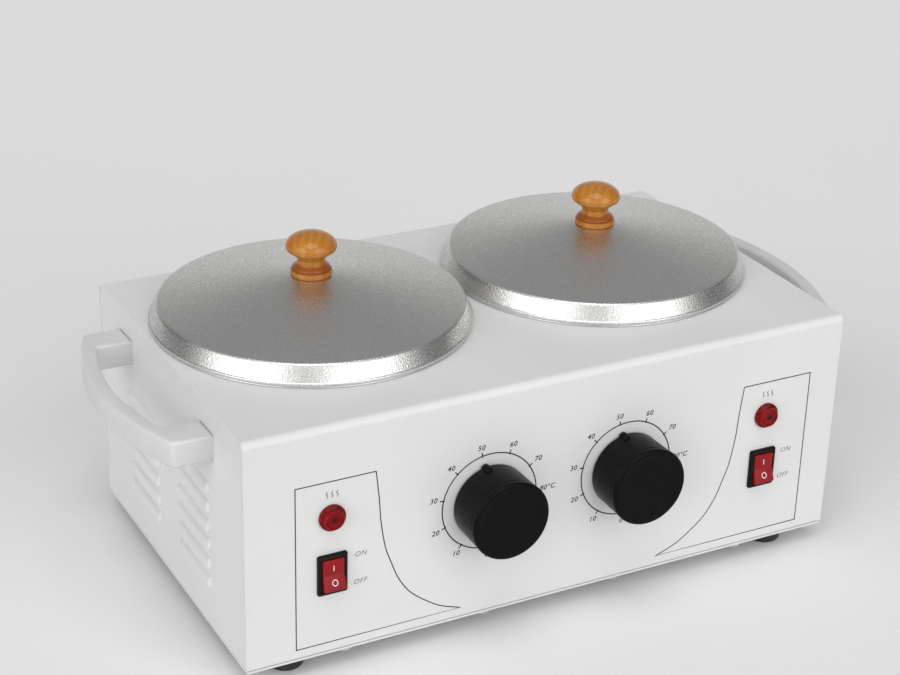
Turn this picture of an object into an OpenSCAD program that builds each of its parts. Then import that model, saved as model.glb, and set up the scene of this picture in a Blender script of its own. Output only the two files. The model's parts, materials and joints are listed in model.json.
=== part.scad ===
// Double pot wax warmer: a folded sheet-steel box that stands on four rubber feet and
// holds two removable aluminium pots under conical lids. Each pot has its own heater,
// thermostat dial, heating lamp and rocker switch on the front panel.
// Millimetres. +X is right as seen from the front, +Y is the rear, +Z is up.
// The origin is the middle of the outer box, on the surface that the feet stand on.

/* [Housing] */
// Height of the body, underside of the base plate to the top panel
body_h = 120; // [116:1:160]
// Thickness of the steel sheet
sheet_t = 1; // [0.8:0.1:1.4]
// Outside radius of the two long folds along the top of the cover
fold_r = 3.5; // [2.5:0.5:5]
// How far the face of an end panel sits inside the cover's edge
end_inset = 0.6; // [0.2:0.1:2]
// Width of the flanges round the end panels and of the cover's bottom lips
flange_w = 10; // [8:0.5:11]

/* [Feet] */
// Height of a rubber foot
foot_h = 9; // [8:0.5:16]
// Radius of a foot where it meets the base plate
foot_top_r = 10; // [8:0.5:13]
// Radius of a foot at the ground
foot_low_r = 8.5; // [7:0.5:12]
// Distance from a foot's centre to the end of the body
foot_from_end = 25.5; // [22:0.5:40]
// Distance from a foot's centre to the front or the rear of the body
foot_from_front = 15; // [15:0.5:30]

/* [Pots and wells] */
// Inside radius of a pot
pot_r = 64.5; // [58:0.5:66]
// Inside depth of a pot, below the top panel
pot_depth = 60; // [40:1:64]
// Thickness of the aluminium of a pot
pot_wall = 1.2; // [0.8:0.1:2]
// Height of the raised step round a pot's mouth, which centres the lid
rim_step = 3; // [2.5:0.5:6]
// Width of a pot's rim, from its inside wall to its edge
pot_rim_w = 15; // [12:0.5:20]
// Gap all round between a pot and its well
pot_gap = 1; // [0.5:0.1:2]
// Thickness of the aluminium of a heating well
well_wall = 1; // [0.8:0.1:2]
// Width of the well's flange, welded under the top panel
well_flange_w = 7.5; // [5:0.5:9]

/* [Lids] */
// How far the skirt slants inwards, from the lid's rim to the edge of the cone
lid_skirt_w = 4; // [3:0.5:6]
// Height of that edge above the lid's rim
lid_edge_z = 10; // [8:0.5:14]
// Height of the cone's tip above that edge
lid_cone_h = 12.4; // [6:0.2:20]
// Thickness of the spun aluminium of a lid
lid_wall = 1; // [0.8:0.1:1.6]
// Gap between the two lids
lid_gap = 1.6; // [1:0.1:6]
// Distance from a lid to the end of the body
lid_from_end = 1.7; // [1:0.1:12]
// Distance from the lids to the rear face of the body
lid_from_rear = 2.6; // [2:0.2:10]
// Distance from the lids to the front panel
lid_from_front = 29.4; // [28:0.2:50]

/* [Wooden lid knobs] */
// Height of a knob
lid_knob_h = 22; // [18:0.5:30]
// Largest radius of the knob's cap
lid_knob_cap_r = 12.7; // [10:0.1:16]
// Radius of the knob's neck
lid_knob_neck_r = 6.7; // [5:0.1:8]
// Radius of the knob's foot ring
lid_knob_foot_r = 10.2; // [8.5:0.1:14]

/* [Handles] */
// Length of a handle, end to end
handle_len = 126; // [110:1:150]
// Height of the handle's section
handle_h = 13.5; // [12:0.5:18]
// How far the middle of the bow stands out from the end panel
handle_out = 33.5; // [30:0.5:45]
// How far the bow's ends stand out from the end panel
handle_end_out = 19.5; // [16:0.5:24]
// Thickness of the bow
handle_bow_t = 7.8; // [6:0.2:10]
// Width of each leg
handle_leg_w = 17; // [14:0.5:22]
// Distance from the top panel down to the handle's upper face
handle_drop = 12.4; // [10:0.2:25]
// How far the handle sits behind the middle of the body
handle_back = 3; // [-5:0.5:10]
// Radius of the rounded edges of a handle
handle_edge_r = 1.6; // [0.8:0.1:3]

/* [Louvres] */
// Length of a louvre
louvre_len = 42.5; // [30:0.5:50]
// Number of louvres in each column
louvre_rows = 6; // [2:1:6]
// Distance between louvres
louvre_pitch = 10.25; // [9:0.25:12]
// Height of the lowest louvre above the base plate
louvre_low = 23; // [18:0.5:30]
// Distance between the two columns' middles
louvre_column_gap = 67; // [56:0.5:80]
// How far a louvre stands out from the panel
louvre_out = 2; // [1.5:0.1:3]
// Height of a louvre's hood
louvre_h = 5; // [4:0.2:6.5]

/* [Controls] */
// Distance of each dial from the middle of the front panel
dial_x = 37.8; // [34:0.2:42]
// Distance from the top panel down to the dials' axes
dial_drop = 57.9; // [52:0.1:62]
// Radius of a dial at its front edge
dial_r = 20.1; // [19.8:0.1:24]
// How far a dial stands out from the front panel
dial_out = 22.2; // [20:0.1:28]
// Gap between a dial and the front panel
dial_gap = 0.8; // [0.5:0.1:1.4]
// Dial angle of the 50 degree mark, where the pointer rests, from +X
dial_rest_angle = 100.5; // [0:0.5:360]
// Distance of the lamps and switches from the ends of the body
switch_from_end = 42.8; // [36:0.1:50]
// Distance from the top panel down to the lamps
lamp_drop = 46.6; // [30:0.1:52]
// Radius of a lamp's red lens
lamp_r = 6.65; // [6:0.05:8]
// Distance from the top panel down to the middle of the switches
switch_drop = 76.2; // [68:0.1:80]
// Width of a switch's bezel
bezel_w = 15; // [14.6:0.1:18]
// Height of a switch's bezel
bezel_h = 21; // [20.6:0.1:25]
// Thickness of a switch's bezel
bezel_t = 2.2; // [2:0.1:3]
// Travel of a rocker, in degrees
rocker_travel = 22; // [16:1:24]

/* [Cord inlet] */
// Distance of the cord gland from the middle of the rear panel
gland_x = 0; // [-20:1:20]
// Height of the cord gland above the base plate
gland_z = 25; // [20:1:30]
// Radius of the gland's bore
gland_bore_r = 3.5; // [2.5:0.1:4.5]
// How far the gland stands out from the rear panel
gland_out = 9; // [7:0.5:14]

/* [Wiring] */
// Outside radius of a heat-proof wire
wire_r = 1.1; // [0.8:0.05:1.1]

/* [Hidden] */
$fn = 72;

// Fits between pieces
slide_fit = 0.1;       // a body in its panel cut-out
turn_fit = 0.05;       // a shaft in its bearing
screw_fit = 0.05;      // a screw in its thread or hole
rocker_fit = 0.3;      // a rocker's end to its frame
cover_fit = 0.5;       // extra radius of an end panel's corner inside the fold

// Standard fasteners
m4_r = 2;
m4_head_r = 3.5;
m4_head_h = 2.4;
m4_nut_w = 7;
m4_nut_h = 3.2;
m5_r = 2.5;
m5_head_r = 4.6;
m5_head_h = 3.2;
tapping_r = 1.75;
tapping_head_r = 3.4;
tapping_head_h = 2.2;

// Pots and lids set the size of the body
rim_r = pot_r + pot_rim_w;
lid_over = 0.5;        // how far a lid reaches past the pot's rim
lid_r = rim_r + lid_over;
lid_edge_r = lid_r - lid_skirt_w;
pot_x = lid_r + lid_gap / 2;

// Housing
half_w = pot_x + lid_r + lid_from_end;
half_d = lid_r + (lid_from_front + lid_from_rear) / 2;
body_w = 2 * half_w;
body_d = 2 * half_d;
lip_r = sheet_t + 0.5;
end_face_x = half_w - end_inset;
body_y = (dial_out - gland_out) / 2;
base_screw_len = 7;
end_screw_y = 55;
corner_clear = 8;      // the end panels' flanges stop short of the folds
vent_len = 44;
vent_w = 4;
vent_pitch = 12;
vent_count = 5;

// Feet
foot_seat_h = 4;       // rubber between the screw's head and the base plate
foot_pocket_r = m4_head_r + 0.8;
m4_screw_len = foot_seat_h + sheet_t + m4_nut_h + 1.8;
foot_x = half_w - foot_from_end;
foot_y = half_d - foot_from_front;
base_screw_clear = 16; // from a foot's rim to the nearest screw
base_screw_out = foot_x - foot_top_r - base_screw_clear;
base_screw_x = [for (k = [-1, -1 / 3, 1 / 3, 1]) k * base_screw_out];

// Pots and wells, with heights counted from the top of the top panel
pot_y = half_d - lid_r - lid_from_rear;
pot_out_r = pot_r + pot_wall;
pot_floor_z = -pot_depth - pot_wall;
pot_corner_r = 8;
rim_t = 1;
rim_step_r = lid_edge_r;
well_in_r = pot_out_r + pot_gap;
well_out_r = well_in_r + well_wall;
well_flange_r = well_in_r + well_flange_w;
well_low_z = pot_floor_z - well_wall;

// Heater stack under each well
heater_r = pot_r - 6.5;
heater_t = 3;
insulation_t = 5;
clamp_t = 1;
heater_low_z = well_low_z - heater_t;
insulation_low_z = heater_low_z - insulation_t;
clamp_low_z = insulation_low_z - clamp_t;
stud_ring_r = heater_r - 16;
stud_len = heater_t + insulation_t + clamp_t + m4_nut_h + 2;
stud_hole_r = m4_r + 0.3;
stud_angles = [30, 150, 270];
tab_x = 8;             // each heater tab's distance from the pot's centre line
tab_w = 6.3;
tab_t = 0.8;
tab_len = 8;

// Lids, with heights counted from the top of the pot's flat rim
lid_top_z = lid_edge_z + lid_cone_h;
lid_round_r = 2.5;     // between the skirt and the cone
lid_bead_w = 1.8;
lid_bead_h = 1.6;
lid_flat_r = lid_knob_foot_r + 1;
lid_screw_r = 2;
lid_screw_len = 15;

// Handles
handle_z = body_h - handle_drop - handle_h / 2;
handle_half = handle_len / 2;
bow_rise = handle_out - handle_end_out;
bow_r = (handle_half * handle_half + bow_rise * bow_rise) / (2 * bow_rise);
bow_angle = asin((handle_half - handle_edge_r) / bow_r);
leg_y = handle_half - handle_leg_w / 2;
leg_len = handle_end_out + 0.3;
handle_screw_depth = 12;

// Louvres
louvre_back = 1.5;     // the columns' middle, behind the middle of the body
hood_r = (louvre_out * louvre_out + louvre_h * louvre_h) / (2 * louvre_out);

// Dials and thermostats, in the front panel's frame: local +Z points out of the panel
dial_z = body_h - dial_drop;
dial_base_r = dial_r - 0.5;
dial_wall = 1.7;
dial_skin = 3;
dial_groove_z = dial_out - 3.6;
dial_edge_r = 1.4;
pointer_r = 2.3;
pointer_z = 6;
boss_r = 5.6;
boss_z = 2.6;
shaft_r = 3;
shaft_in = 12;
shaft_out = dial_out - 5;
shaft_flat = 2.4;      // distance from the shaft's axis to its flat
shaft_flat_z = 7;
bush_r = 5;
bush_out = 1;
thermostat_w = 36;
thermostat_h = 34;
thermostat_back = 31;
bracket_screw_x = dial_base_r - dial_wall - m4_head_r - 0.4;
bracket_w = 2 * (bracket_screw_x + 5);
bracket_h = 14;
bracket_t = 1.2;
bracket_screw_len = 7;
thermostat_tab_z = 6;
first_tab_x = 12;      // each blade's distance from the dial's axis, towards the middle
second_tab_x = 2;
tab_seat = 3;          // how deep a blade terminal sits in its body

// Temperature sensors on the wells
sensor_r = 3;
sensor_len = 50;
sensor_angle = 240;
sensor_gap = 0.05;
capillary_r = 0.7;
capillary_bend = 4;
capillary_below = 13.3; // from the dial's axis down to where it enters the thermostat
clip_w = 12;
clip_h = 8;

// Switches, in the front panel's frame
switch_x = half_w - switch_from_end;
switch_z = body_h - switch_drop;
switch_body_w = bezel_w - 2.2;
switch_body_h = bezel_h - 2;
switch_back = 15;
rocker_w = bezel_w - 4.2;
rocker_side_gap = 0.2;
rocker_arc_r = bezel_h / 2 - 2.2;
rocker_face = 2;       // from the pivot to the face of the pressed half
rocker_under = 3;
rocker_pin_r = 1;
rocker_pin_half = switch_body_w / 2 - 0.2;
pivot_z = bezel_t + 0.3 - rocker_face;
switch_well_z = pivot_z - 6.4;
switch_tab_w = 4.8;
switch_tab_y = 4;
switch_tab_len = 7;

// Lamps, in the front panel's frame
lamp_z = body_h - lamp_drop;
lens_flange_t = 1.6;
lens_face_r = lamp_r - 2.1;
lens_out = 4.2;
lens_stem_r = 4;
lens_stem_in = 5;
holder_r = lens_stem_r + 1;
holder_back = 24;
bulb_r = 2.4;
bulb_len = 13;
lamp_nut_r = 7.5;
lamp_nut_t = 2;
lamp_lead_x = 2;

// Cord gland, terminal block and earth
gland_flange_r = 10;
gland_flange_t = 3;
gland_nose_r = 7;
gland_thread_r = 6.2;
gland_in = 14;
gland_nut_w = 17;
gland_nut_h = 4;
block_w = 38;
block_d = 20;
block_h = 14;
block_from_rear = 34;  // from the block's middle to the rear of the body
block_y = half_d - block_from_rear;
block_front = block_y - block_d / 2;
pole_x = 10;
sleeve_r = 3.2;
sleeve_bore_r = 2.4;
sleeve_z = sheet_t + block_h / 2;
pole_screw_r = 1.5;
pole_screw_y = 5.5;
block_fix_x = 16;      // tapping screws that hold the block to the base plate
earth_x = 28;
earth_gap = 5;         // from the terminal block's front to the earth stud
earth_y = block_front - earth_gap;

// Wire routes, in the right-hand half of the body
wire_seat = 4;         // how deep a wire's end sits in its sleeve
pair_gap = 1.15;       // half the distance between two wires in one sleeve
live_run_z = 20;
neutral_run_z = sleeve_z;
switch_run_z = 34;
heater_run_z = 42;
lamp_run_z = 46;
live_run_gap = 8;      // from the terminal block's front to each run across the body
neutral_run_gap = 14;
live_run_y = block_front - live_run_gap;
neutral_run_y = block_front - neutral_run_gap;
live_beside = 19.7;    // the live wire comes forward this far inside the switch
live_forward_x = switch_x - live_beside;
switch_turn = 12;      // how far behind a switch's or lamp's rear its wires turn
dial_turn = 4.5;       // the same behind a thermostat's blades
heater_tab_in = 2.5;   // from a heater tab's tip to its wire
earth_lug_z = sheet_t + 2.6;

// ---------------------------------------------------------------- places

// The body's own frame: z = 0 is the underside of the base plate
module in_body() { translate([0, body_y, foot_h]) children(); }

// The right-hand piece as drawn, or its mirror image on the left
module on_side(side) {
    if (side < 0) mirror([1, 0, 0]) children();
    else children();
}

// Local +Z points out of the front panel, local +Y is up
module on_front(x, z) { in_body() translate([x, -half_d, z]) rotate([90, 0, 0]) children(); }

// Local +Z points out of the rear panel
module on_rear(x, z) { in_body() translate([x, half_d, z]) rotate([-90, 0, 0]) children(); }

// Centre of a pot, at the top of the top panel
module at_pot(side) { in_body() translate([side * pot_x, pot_y, body_h]) children(); }

// Local +Z points out of an end panel, local +X is the rear, local +Y is up
module on_end(side, y, z) {
    on_side(side) in_body() translate([end_face_x, y, z]) rotate([90, 0, 90]) children();
}

// ---------------------------------------------------------------- shapes

// A prism along X, drawn in (Y, Z)
module along_x(length) { rotate([90, 0, 90]) linear_extrude(length, center = true) children(); }

module rounded_rect(w, h, r) {
    square([w - 2 * r, h], center = true);
    square([w, h - 2 * r], center = true);
    for (x = [-1, 1], y = [-1, 1])
        translate([x * (w / 2 - r), y * (h / 2 - r)]) circle(r, $fn = 32);
}

// Cross-section of the box in (Y, Z), with its own radius at the top and at the bottom
module box_section(d, h, top_r, low_r) {
    translate([-d / 2, low_r]) square([d, h - low_r - top_r]);
    translate([-d / 2 + top_r, h / 2]) square([d - 2 * top_r, h / 2]);
    translate([-d / 2 + low_r, 0]) square([d - 2 * low_r, h / 2]);
    for (s = [-1, 1]) {
        translate([s * (d / 2 - top_r), h - top_r]) circle(top_r);
        translate([s * (d / 2 - low_r), low_r]) circle(low_r);
    }
}

module tube(r_out, r_in, h) {
    difference() {
        cylinder(h, r = r_out);
        translate([0, 0, -1]) cylinder(h + 2, r = r_in);
    }
}

module hex_nut(width, h, bore_r) {
    difference() {
        cylinder(h, r = width / sqrt(3), $fn = 6);
        translate([0, 0, -1]) cylinder(h + 2, r = bore_r);
    }
}

// A screw along +Z: the head below z = 0, the shank above
module screw(shank_r, shank_len, head_r, head_h) {
    translate([0, 0, -head_h]) cylinder(head_h, r = head_r);
    cylinder(shank_len, r = shank_r);
}

module m4_screw() { screw(m4_r, m4_screw_len, m4_head_r, m4_head_h); }

module m4_nut() { hex_nut(m4_nut_w, m4_nut_h, m4_r + screw_fit); }

// A slot with round ends along Y, cut through +Z
module slot(length, width, h) {
    translate([-width / 2, -(length - width) / 2, 0]) cube([width, length - width, h]);
    for (s = [-1, 1]) translate([0, s * (length - width) / 2, 0]) cylinder(h, d = width);
}

// A flat block with its upper edges chamfered, centred, standing on z = 0
module chamfered_block(w, h, t, c) {
    intersection() {
        along_x(w) polygon([[-h / 2, 0], [h / 2, 0], [h / 2, t - c], [h / 2 - c, t],
                            [c - h / 2, t], [-h / 2, t - c]]);
        rotate([0, 0, 90]) along_x(h + 1)
            polygon([[-w / 2, 0], [w / 2, 0], [w / 2, t - c], [w / 2 - c, t],
                     [c - w / 2, t], [-w / 2, t - c]]);
    }
}

// Points of an arc, for outlines that are turned
function arc(cx, cy, r, from, to, steps = 6) =
    [for (i = [0 : steps]) let (a = from + (to - from) * i / steps)
        [cx + r * cos(a), cy + r * sin(a)]];

// A round wire along straight runs, with a ball at each bend
module wire(points, r = wire_r) {
    for (i = [0 : len(points) - 2]) {
        run = points[i + 1] - points[i];
        translate(points[i])
            rotate([0, acos(run[2] / norm(run)), atan2(run[1], run[0])])
                cylinder(norm(run), r = r, $fn = 24);
    }
    for (i = [1 : len(points) - 2])
        translate(points[i]) sphere(r * 1.08, $fn = 24);
}

// ---------------------------------------------------------------- housing

// Front, top and rear in one folded sheet, with lips turned in at the bottom
module cover() {
    inner_end = end_face_x - flange_w - 1;
    color("whitesmoke") difference() {
        in_body() difference() {
            along_x(body_w) translate([0, sheet_t]) difference() {
                box_section(body_d, body_h - sheet_t, fold_r, lip_r);
                translate([0, sheet_t])
                    box_section(body_d - 2 * sheet_t, body_h - 3 * sheet_t,
                                fold_r - sheet_t, lip_r - sheet_t);
                translate([flange_w - half_d, -1])
                    square([body_d - 2 * flange_w, sheet_t + 2]);
            }
            // the lips stop short of the end panels' flanges
            for (s = [-1, 1]) on_side(s)
                translate([inner_end, sheet_t - half_d, 0])
                    cube([half_w - inner_end + 1, body_d - 2 * sheet_t, 2 * sheet_t + 1]);
            for (x = base_screw_x, s = [-1, 1])
                translate([x, s * (half_d - flange_w / 2), 0])
                    cylinder(3 * sheet_t, r = tapping_r + screw_fit);
        }
        for (s = [-1, 1]) {
            at_pot(s) translate([0, 0, -sheet_t - 1]) cylinder(sheet_t + 2, r = well_in_r);
            on_front(s * dial_x, dial_z) {
                translate([0, 0, -sheet_t - 1]) cylinder(sheet_t + 2, r = bush_r + slide_fit);
                for (x = [-1, 1])
                    translate([x * bracket_screw_x, 0, -sheet_t - 1])
                        cylinder(sheet_t + 2, r = m4_r + 0.2);
            }
            on_front(s * switch_x, lamp_z)
                translate([0, 0, -sheet_t - 1]) cylinder(sheet_t + 2, r = holder_r + slide_fit);
            on_front(s * switch_x, switch_z)
                cube([switch_body_w + 2 * slide_fit, switch_body_h + 2 * slide_fit,
                      2 * sheet_t + 2], center = true);
        }
        on_rear(gland_x, gland_z)
            translate([0, 0, -sheet_t - 1]) cylinder(sheet_t + 2, r = gland_thread_r + slide_fit);
    }
}

// Outline of a louvre's hood across the panel: outwards, then up
module hood_section(r) {
    intersection() {
        translate([louvre_out - hood_r, 0]) circle(r);
        square([louvre_out, louvre_h]);
    }
}

// A pressed hood with round ends, open along its lower edge: +Y is outwards, +Z is up
module hood(r) {
    straight = louvre_len - 2 * louvre_out;
    along_x(straight) hood_section(r);
    for (s = [0, 1])
        mirror([s, 0, 0]) translate([straight / 2, 0, 0]) rotate_extrude(angle = 90) hood_section(r);
}

// Every louvre's place, with local +Y out of the end panel
module at_louvres(side) {
    for (row = [0 : louvre_rows - 1], column = [-0.5, 0.5])
        on_side(side) in_body()
            translate([end_face_x, louvre_back + column * louvre_column_gap,
                       louvre_low + row * louvre_pitch]) rotate([0, 0, -90]) children();
}

module end_panel(side) {
    flange = flange_w - sheet_t;
    low_clear = flange_w + 2;
    face_h = body_h - 2 * sheet_t;
    color("whitesmoke") difference() {
        union() {
            on_side(side) in_body() {
                translate([end_face_x - sheet_t / 2, 0, sheet_t]) along_x(sheet_t)
                    box_section(body_d - 2 * sheet_t, face_h, fold_r - sheet_t + cover_fit, 0.5);
                translate([end_face_x - flange_w, 0, 0]) {
                    translate([0, corner_clear - half_d, body_h - 2 * sheet_t])
                        cube([flange, body_d - 2 * corner_clear, sheet_t]);
                    translate([0, low_clear - half_d, sheet_t])
                        cube([flange, body_d - 2 * low_clear, sheet_t]);
                    for (s = [-1, 1])
                        translate([0, s * (half_d - 1.5 * sheet_t) - sheet_t / 2, corner_clear])
                            cube([flange, sheet_t, body_h - 2 * corner_clear]);
                }
            }
            at_louvres(side) hood(hood_r);
        }
        at_louvres(side) {
            hood(hood_r - sheet_t);
            translate([2 * louvre_out - louvre_len / 2, -sheet_t - 1, 0])
                cube([louvre_len - 4 * louvre_out, sheet_t + 1.2, louvre_h * 0.6]);
        }
        for (s = [-1, 1])
            on_end(side, handle_back + s * leg_y, handle_z)
                translate([0, 0, -sheet_t - 1]) cylinder(sheet_t + 2, r = m5_r + 0.2);
        at_pot(side) translate([0, 0, -3 * sheet_t]) cylinder(3 * sheet_t, r = well_flange_r + 1);
        for (s = [-1, 1])
            on_side(side) in_body()
                translate([end_face_x - flange_w / 2, s * end_screw_y, 0])
                    cylinder(3 * sheet_t, r = tapping_r + screw_fit);
    }
}

// Every place where a tapping screw comes up through the base plate
module at_base_screws() {
    for (x = base_screw_x, s = [-1, 1]) translate([x, s * (half_d - flange_w / 2), 0]) children();
    for (x = [-1, 1], s = [-1, 1])
        translate([x * (end_face_x - flange_w / 2), s * end_screw_y, 0]) children();
    for (x = [-1, 1]) translate([x * block_fix_x, block_y, 0]) children();
}

module at_feet() {
    for (x = [-1, 1], y = [-1, 1]) translate([x * foot_x, y * foot_y, 0]) children();
}

module base_plate() {
    edge = 0.3;
    color("whitesmoke") in_body() difference() {
        translate([edge - half_w, edge - half_d, 0])
            cube([body_w - 2 * edge, body_d - 2 * edge, sheet_t]);
        translate([0, 0, -1]) {
            at_base_screws() cylinder(sheet_t + 2, r = tapping_r + 0.25);
            at_feet() cylinder(sheet_t + 2, r = m4_r + 0.2);
            for (s = [-1, 1], i = [0 : vent_count - 1])
                translate([s * pot_x + (i - (vent_count - 1) / 2) * vent_pitch, pot_y, 0])
                    slot(vent_len, vent_w, sheet_t + 2);
            translate([earth_x, earth_y, 0]) cylinder(sheet_t + 2, r = m4_r + 0.2);
        }
    }
}

module base_screws() {
    color("silver") in_body() at_base_screws()
        screw(tapping_r, base_screw_len, tapping_head_r, tapping_head_h);
}

// A tapered rubber foot with a pocket for its screw's head
module foot(x, y) {
    round_r = 1.5;
    color([0.1, 0.1, 0.1]) in_body() translate([x * foot_x, y * foot_y, -foot_h])
        difference() {
            rotate_extrude()
                polygon(concat([[0, 0]], arc(foot_low_r - round_r, round_r, round_r, -90, 0),
                               [[foot_top_r, foot_h], [0, foot_h]]));
            translate([0, 0, -1]) cylinder(foot_h - foot_seat_h + 1, r = foot_pocket_r);
            cylinder(foot_h + 1, r = m4_r + 0.1);
        }
}

// Four screws hold the feet, and one is the earth stud
module m4_screws() {
    color("silver") in_body() {
        at_feet() translate([0, 0, -foot_seat_h]) m4_screw();
        translate([earth_x, earth_y, 0]) m4_screw();
    }
}

// Nuts on the feet's screws, the earth stud and the wells' clamping studs
module m4_nuts() {
    color("silver") {
        in_body() {
            at_feet() translate([0, 0, sheet_t]) m4_nut();
            translate([earth_x, earth_y, sheet_t]) m4_nut();
        }
        for (s = [-1, 1]) at_pot(s) at_studs() translate([0, 0, clamp_low_z - m4_nut_h]) m4_nut();
    }
}

// ---------------------------------------------------------------- handles

// A bow between two legs, moulded in one piece, with a blind screw hole in each leg
module handle(side) {
    color("whitesmoke") difference() {
        on_side(side) in_body() translate([end_face_x, handle_back, handle_z]) {
            translate([handle_out - bow_r, 0, 0]) rotate([0, 0, -bow_angle])
                rotate_extrude(angle = 2 * bow_angle, $fn = 360)
                    translate([bow_r - handle_bow_t / 2, 0])
                        rounded_rect(handle_bow_t, handle_h, handle_edge_r);
            for (s = [-1, 1])
                translate([leg_len / 2, s * leg_y, 0]) along_x(leg_len)
                    rounded_rect(handle_leg_w, handle_h, handle_edge_r);
        }
        for (s = [-1, 1])
            on_end(side, handle_back + s * leg_y, handle_z)
                translate([0, 0, -1]) cylinder(handle_screw_depth + 2, r = m5_r + screw_fit);
    }
}

module at_handle_screws() {
    for (side = [-1, 1], s = [-1, 1]) on_end(side, handle_back + s * leg_y, handle_z) children();
}

module handle_washers() {
    color("silver") at_handle_screws()
        translate([0, 0, -sheet_t - 1]) tube(m5_head_r + 0.9, m5_r + 0.2, 1);
}

module handle_screws() {
    color("silver") at_handle_screws()
        translate([0, 0, -sheet_t - 1])
            screw(m5_r, handle_screw_depth + sheet_t + 1, m5_head_r, m5_head_h);
}

// ---------------------------------------------------------------- heating wells

module at_studs() {
    for (a = stud_angles) rotate([0, 0, a]) translate([stud_ring_r, 0, 0]) children();
}

// A drawn cup welded under the top panel, with three studs under its floor
module well(side) {
    inner_r = pot_corner_r + pot_gap;
    outer_r = inner_r + well_wall;
    color("lightgray") at_pot(side) {
        rotate_extrude($fn = 144) polygon(concat(
            [[0, well_low_z]],
            arc(well_out_r - outer_r, well_low_z + outer_r, outer_r, -90, 0, 8),
            [[well_out_r, -sheet_t - well_wall], [well_flange_r, -sheet_t - well_wall],
             [well_flange_r, -sheet_t], [well_in_r, -sheet_t]],
            arc(well_in_r - inner_r, pot_floor_z + inner_r, inner_r, 0, -90, 8),
            [[0, pot_floor_z]]));
        at_studs() translate([0, 0, well_low_z - stud_len]) cylinder(stud_len + 0.5, r = m4_r);
    }
}

// A round layer of the heater stack, with holes for the studs
module stack_disc(r, t) {
    difference() {
        cylinder(t, r = r);
        translate([0, 0, -1]) at_studs() cylinder(t + 2, r = stud_hole_r);
    }
}

// A mica-faced plate element with two flat tabs towards the front
module heater(side) {
    color("tan") at_pot(side) translate([0, 0, heater_low_z]) {
        stack_disc(heater_r, heater_t);
        for (s = [-1, 1])
            translate([s * tab_x - tab_w / 2, -heater_r - tab_len, (heater_t - tab_t) / 2])
                cube([tab_w, tab_len + 4, tab_t]);
    }
}

module insulation_pads() {
    color("white") for (s = [-1, 1])
        at_pot(s) translate([0, 0, insulation_low_z]) stack_disc(heater_r, insulation_t);
}

module clamp_plates() {
    color("silver") for (s = [-1, 1])
        at_pot(s) translate([0, 0, clamp_low_z]) stack_disc(heater_r, clamp_t);
}

// ---------------------------------------------------------------- thermostats

// Places of a thermostat's blade terminals, on its rear face
module at_thermostat_tabs() {
    for (x = [first_tab_x, second_tab_x])
        translate([-x, thermostat_tab_z, -thermostat_back]) children();
}

module thermostat(side) {
    color("gray") on_side(side) on_front(dial_x, dial_z) difference() {
        union() {
            translate([-bracket_w / 2, -bracket_h / 2, -sheet_t - bracket_t])
                cube([bracket_w, bracket_h, bracket_t]);
            translate([0, 0, -thermostat_back])
                linear_extrude(thermostat_back - sheet_t - bracket_t)
                    rounded_rect(thermostat_w, thermostat_h, 2);
            translate([0, 0, -sheet_t - 1]) cylinder(sheet_t + 1 + bush_out, r = bush_r);
        }
        translate([0, 0, -shaft_in - 1]) cylinder(shaft_in + bush_out + 2, r = shaft_r + turn_fit);
        for (s = [-1, 1])
            translate([s * bracket_screw_x, 0, -bracket_screw_len - 1])
                cylinder(bracket_screw_len + 1, r = m4_r + screw_fit);
        at_thermostat_tabs() cube([tab_t + 0.1, tab_w + 0.1, 2 * tab_seat + 0.1], center = true);
        translate([sensor_x() - dial_x, capillary_z() - dial_z, -thermostat_back])
            cylinder(6, r = capillary_r + 0.1, center = true);
    }
}

module thermostat_screws() {
    color("silver") for (side = [-1, 1], s = [-1, 1])
        on_side(side) on_front(dial_x + s * bracket_screw_x, dial_z)
            mirror([0, 0, 1]) screw(m4_r, bracket_screw_len, m4_head_r, m4_head_h);
}

module thermostat_terminals() {
    color("gold") for (side = [-1, 1])
        on_side(side) on_front(dial_x, dial_z) at_thermostat_tabs()
            translate([-tab_t / 2, -tab_w / 2, -tab_len])
                cube([tab_t, tab_w, tab_len + tab_seat]);
}

// Centre of the right-hand sensor, in the body's frame
function sensor_ring() = well_out_r + sensor_r + sensor_gap;
function sensor_x() = pot_x + sensor_ring() * cos(sensor_angle);
function sensor_y() = pot_y + sensor_ring() * sin(sensor_angle);
function sensor_low() = body_h + well_low_z + 1;
function capillary_z() = dial_z - capillary_below;

// A copper bulb that stands against the well, and its capillary to the thermostat
module sensor(side) {
    run = sensor_y() - capillary_bend + half_d - thermostat_back;
    color("peru") on_side(side) in_body() translate([sensor_x(), sensor_y(), 0]) {
        translate([0, 0, sensor_low()]) cylinder(sensor_len, r = sensor_r);
        translate([0, 0, capillary_z() + capillary_bend])
            cylinder(sensor_low() - capillary_bend - capillary_z() + 1, r = capillary_r,
                     $fn = 24);
        translate([0, -capillary_bend, capillary_z() + capillary_bend]) rotate([0, 90, 0])
            rotate_extrude(angle = 90, $fn = 48)
                translate([capillary_bend, 0]) circle(capillary_r, $fn = 24);
        translate([0, -capillary_bend, capillary_z()]) rotate([90, 0, 0])
            cylinder(run + 2, r = capillary_r, $fn = 24);
    }
}

// Saddles welded to the wells, which hold the sensors against them
module sensor_clips() {
    color("silver") for (side = [-1, 1])
        on_side(side) at_pot(1) rotate([0, 0, sensor_angle])
            translate([0, 0, -body_h + sensor_low() + sensor_len / 2]) difference() {
                translate([well_out_r - 1, -clip_w / 2, -clip_h / 2])
                    cube([2 * sensor_r + 2.2, clip_w, clip_h]);
                cylinder(clip_h + 2, r = well_out_r + 2 * sensor_gap, center = true, $fn = 144);
                translate([sensor_ring(), 0, 0])
                    cylinder(clip_h + 2, r = sensor_r + sensor_gap, center = true);
            }
}

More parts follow.
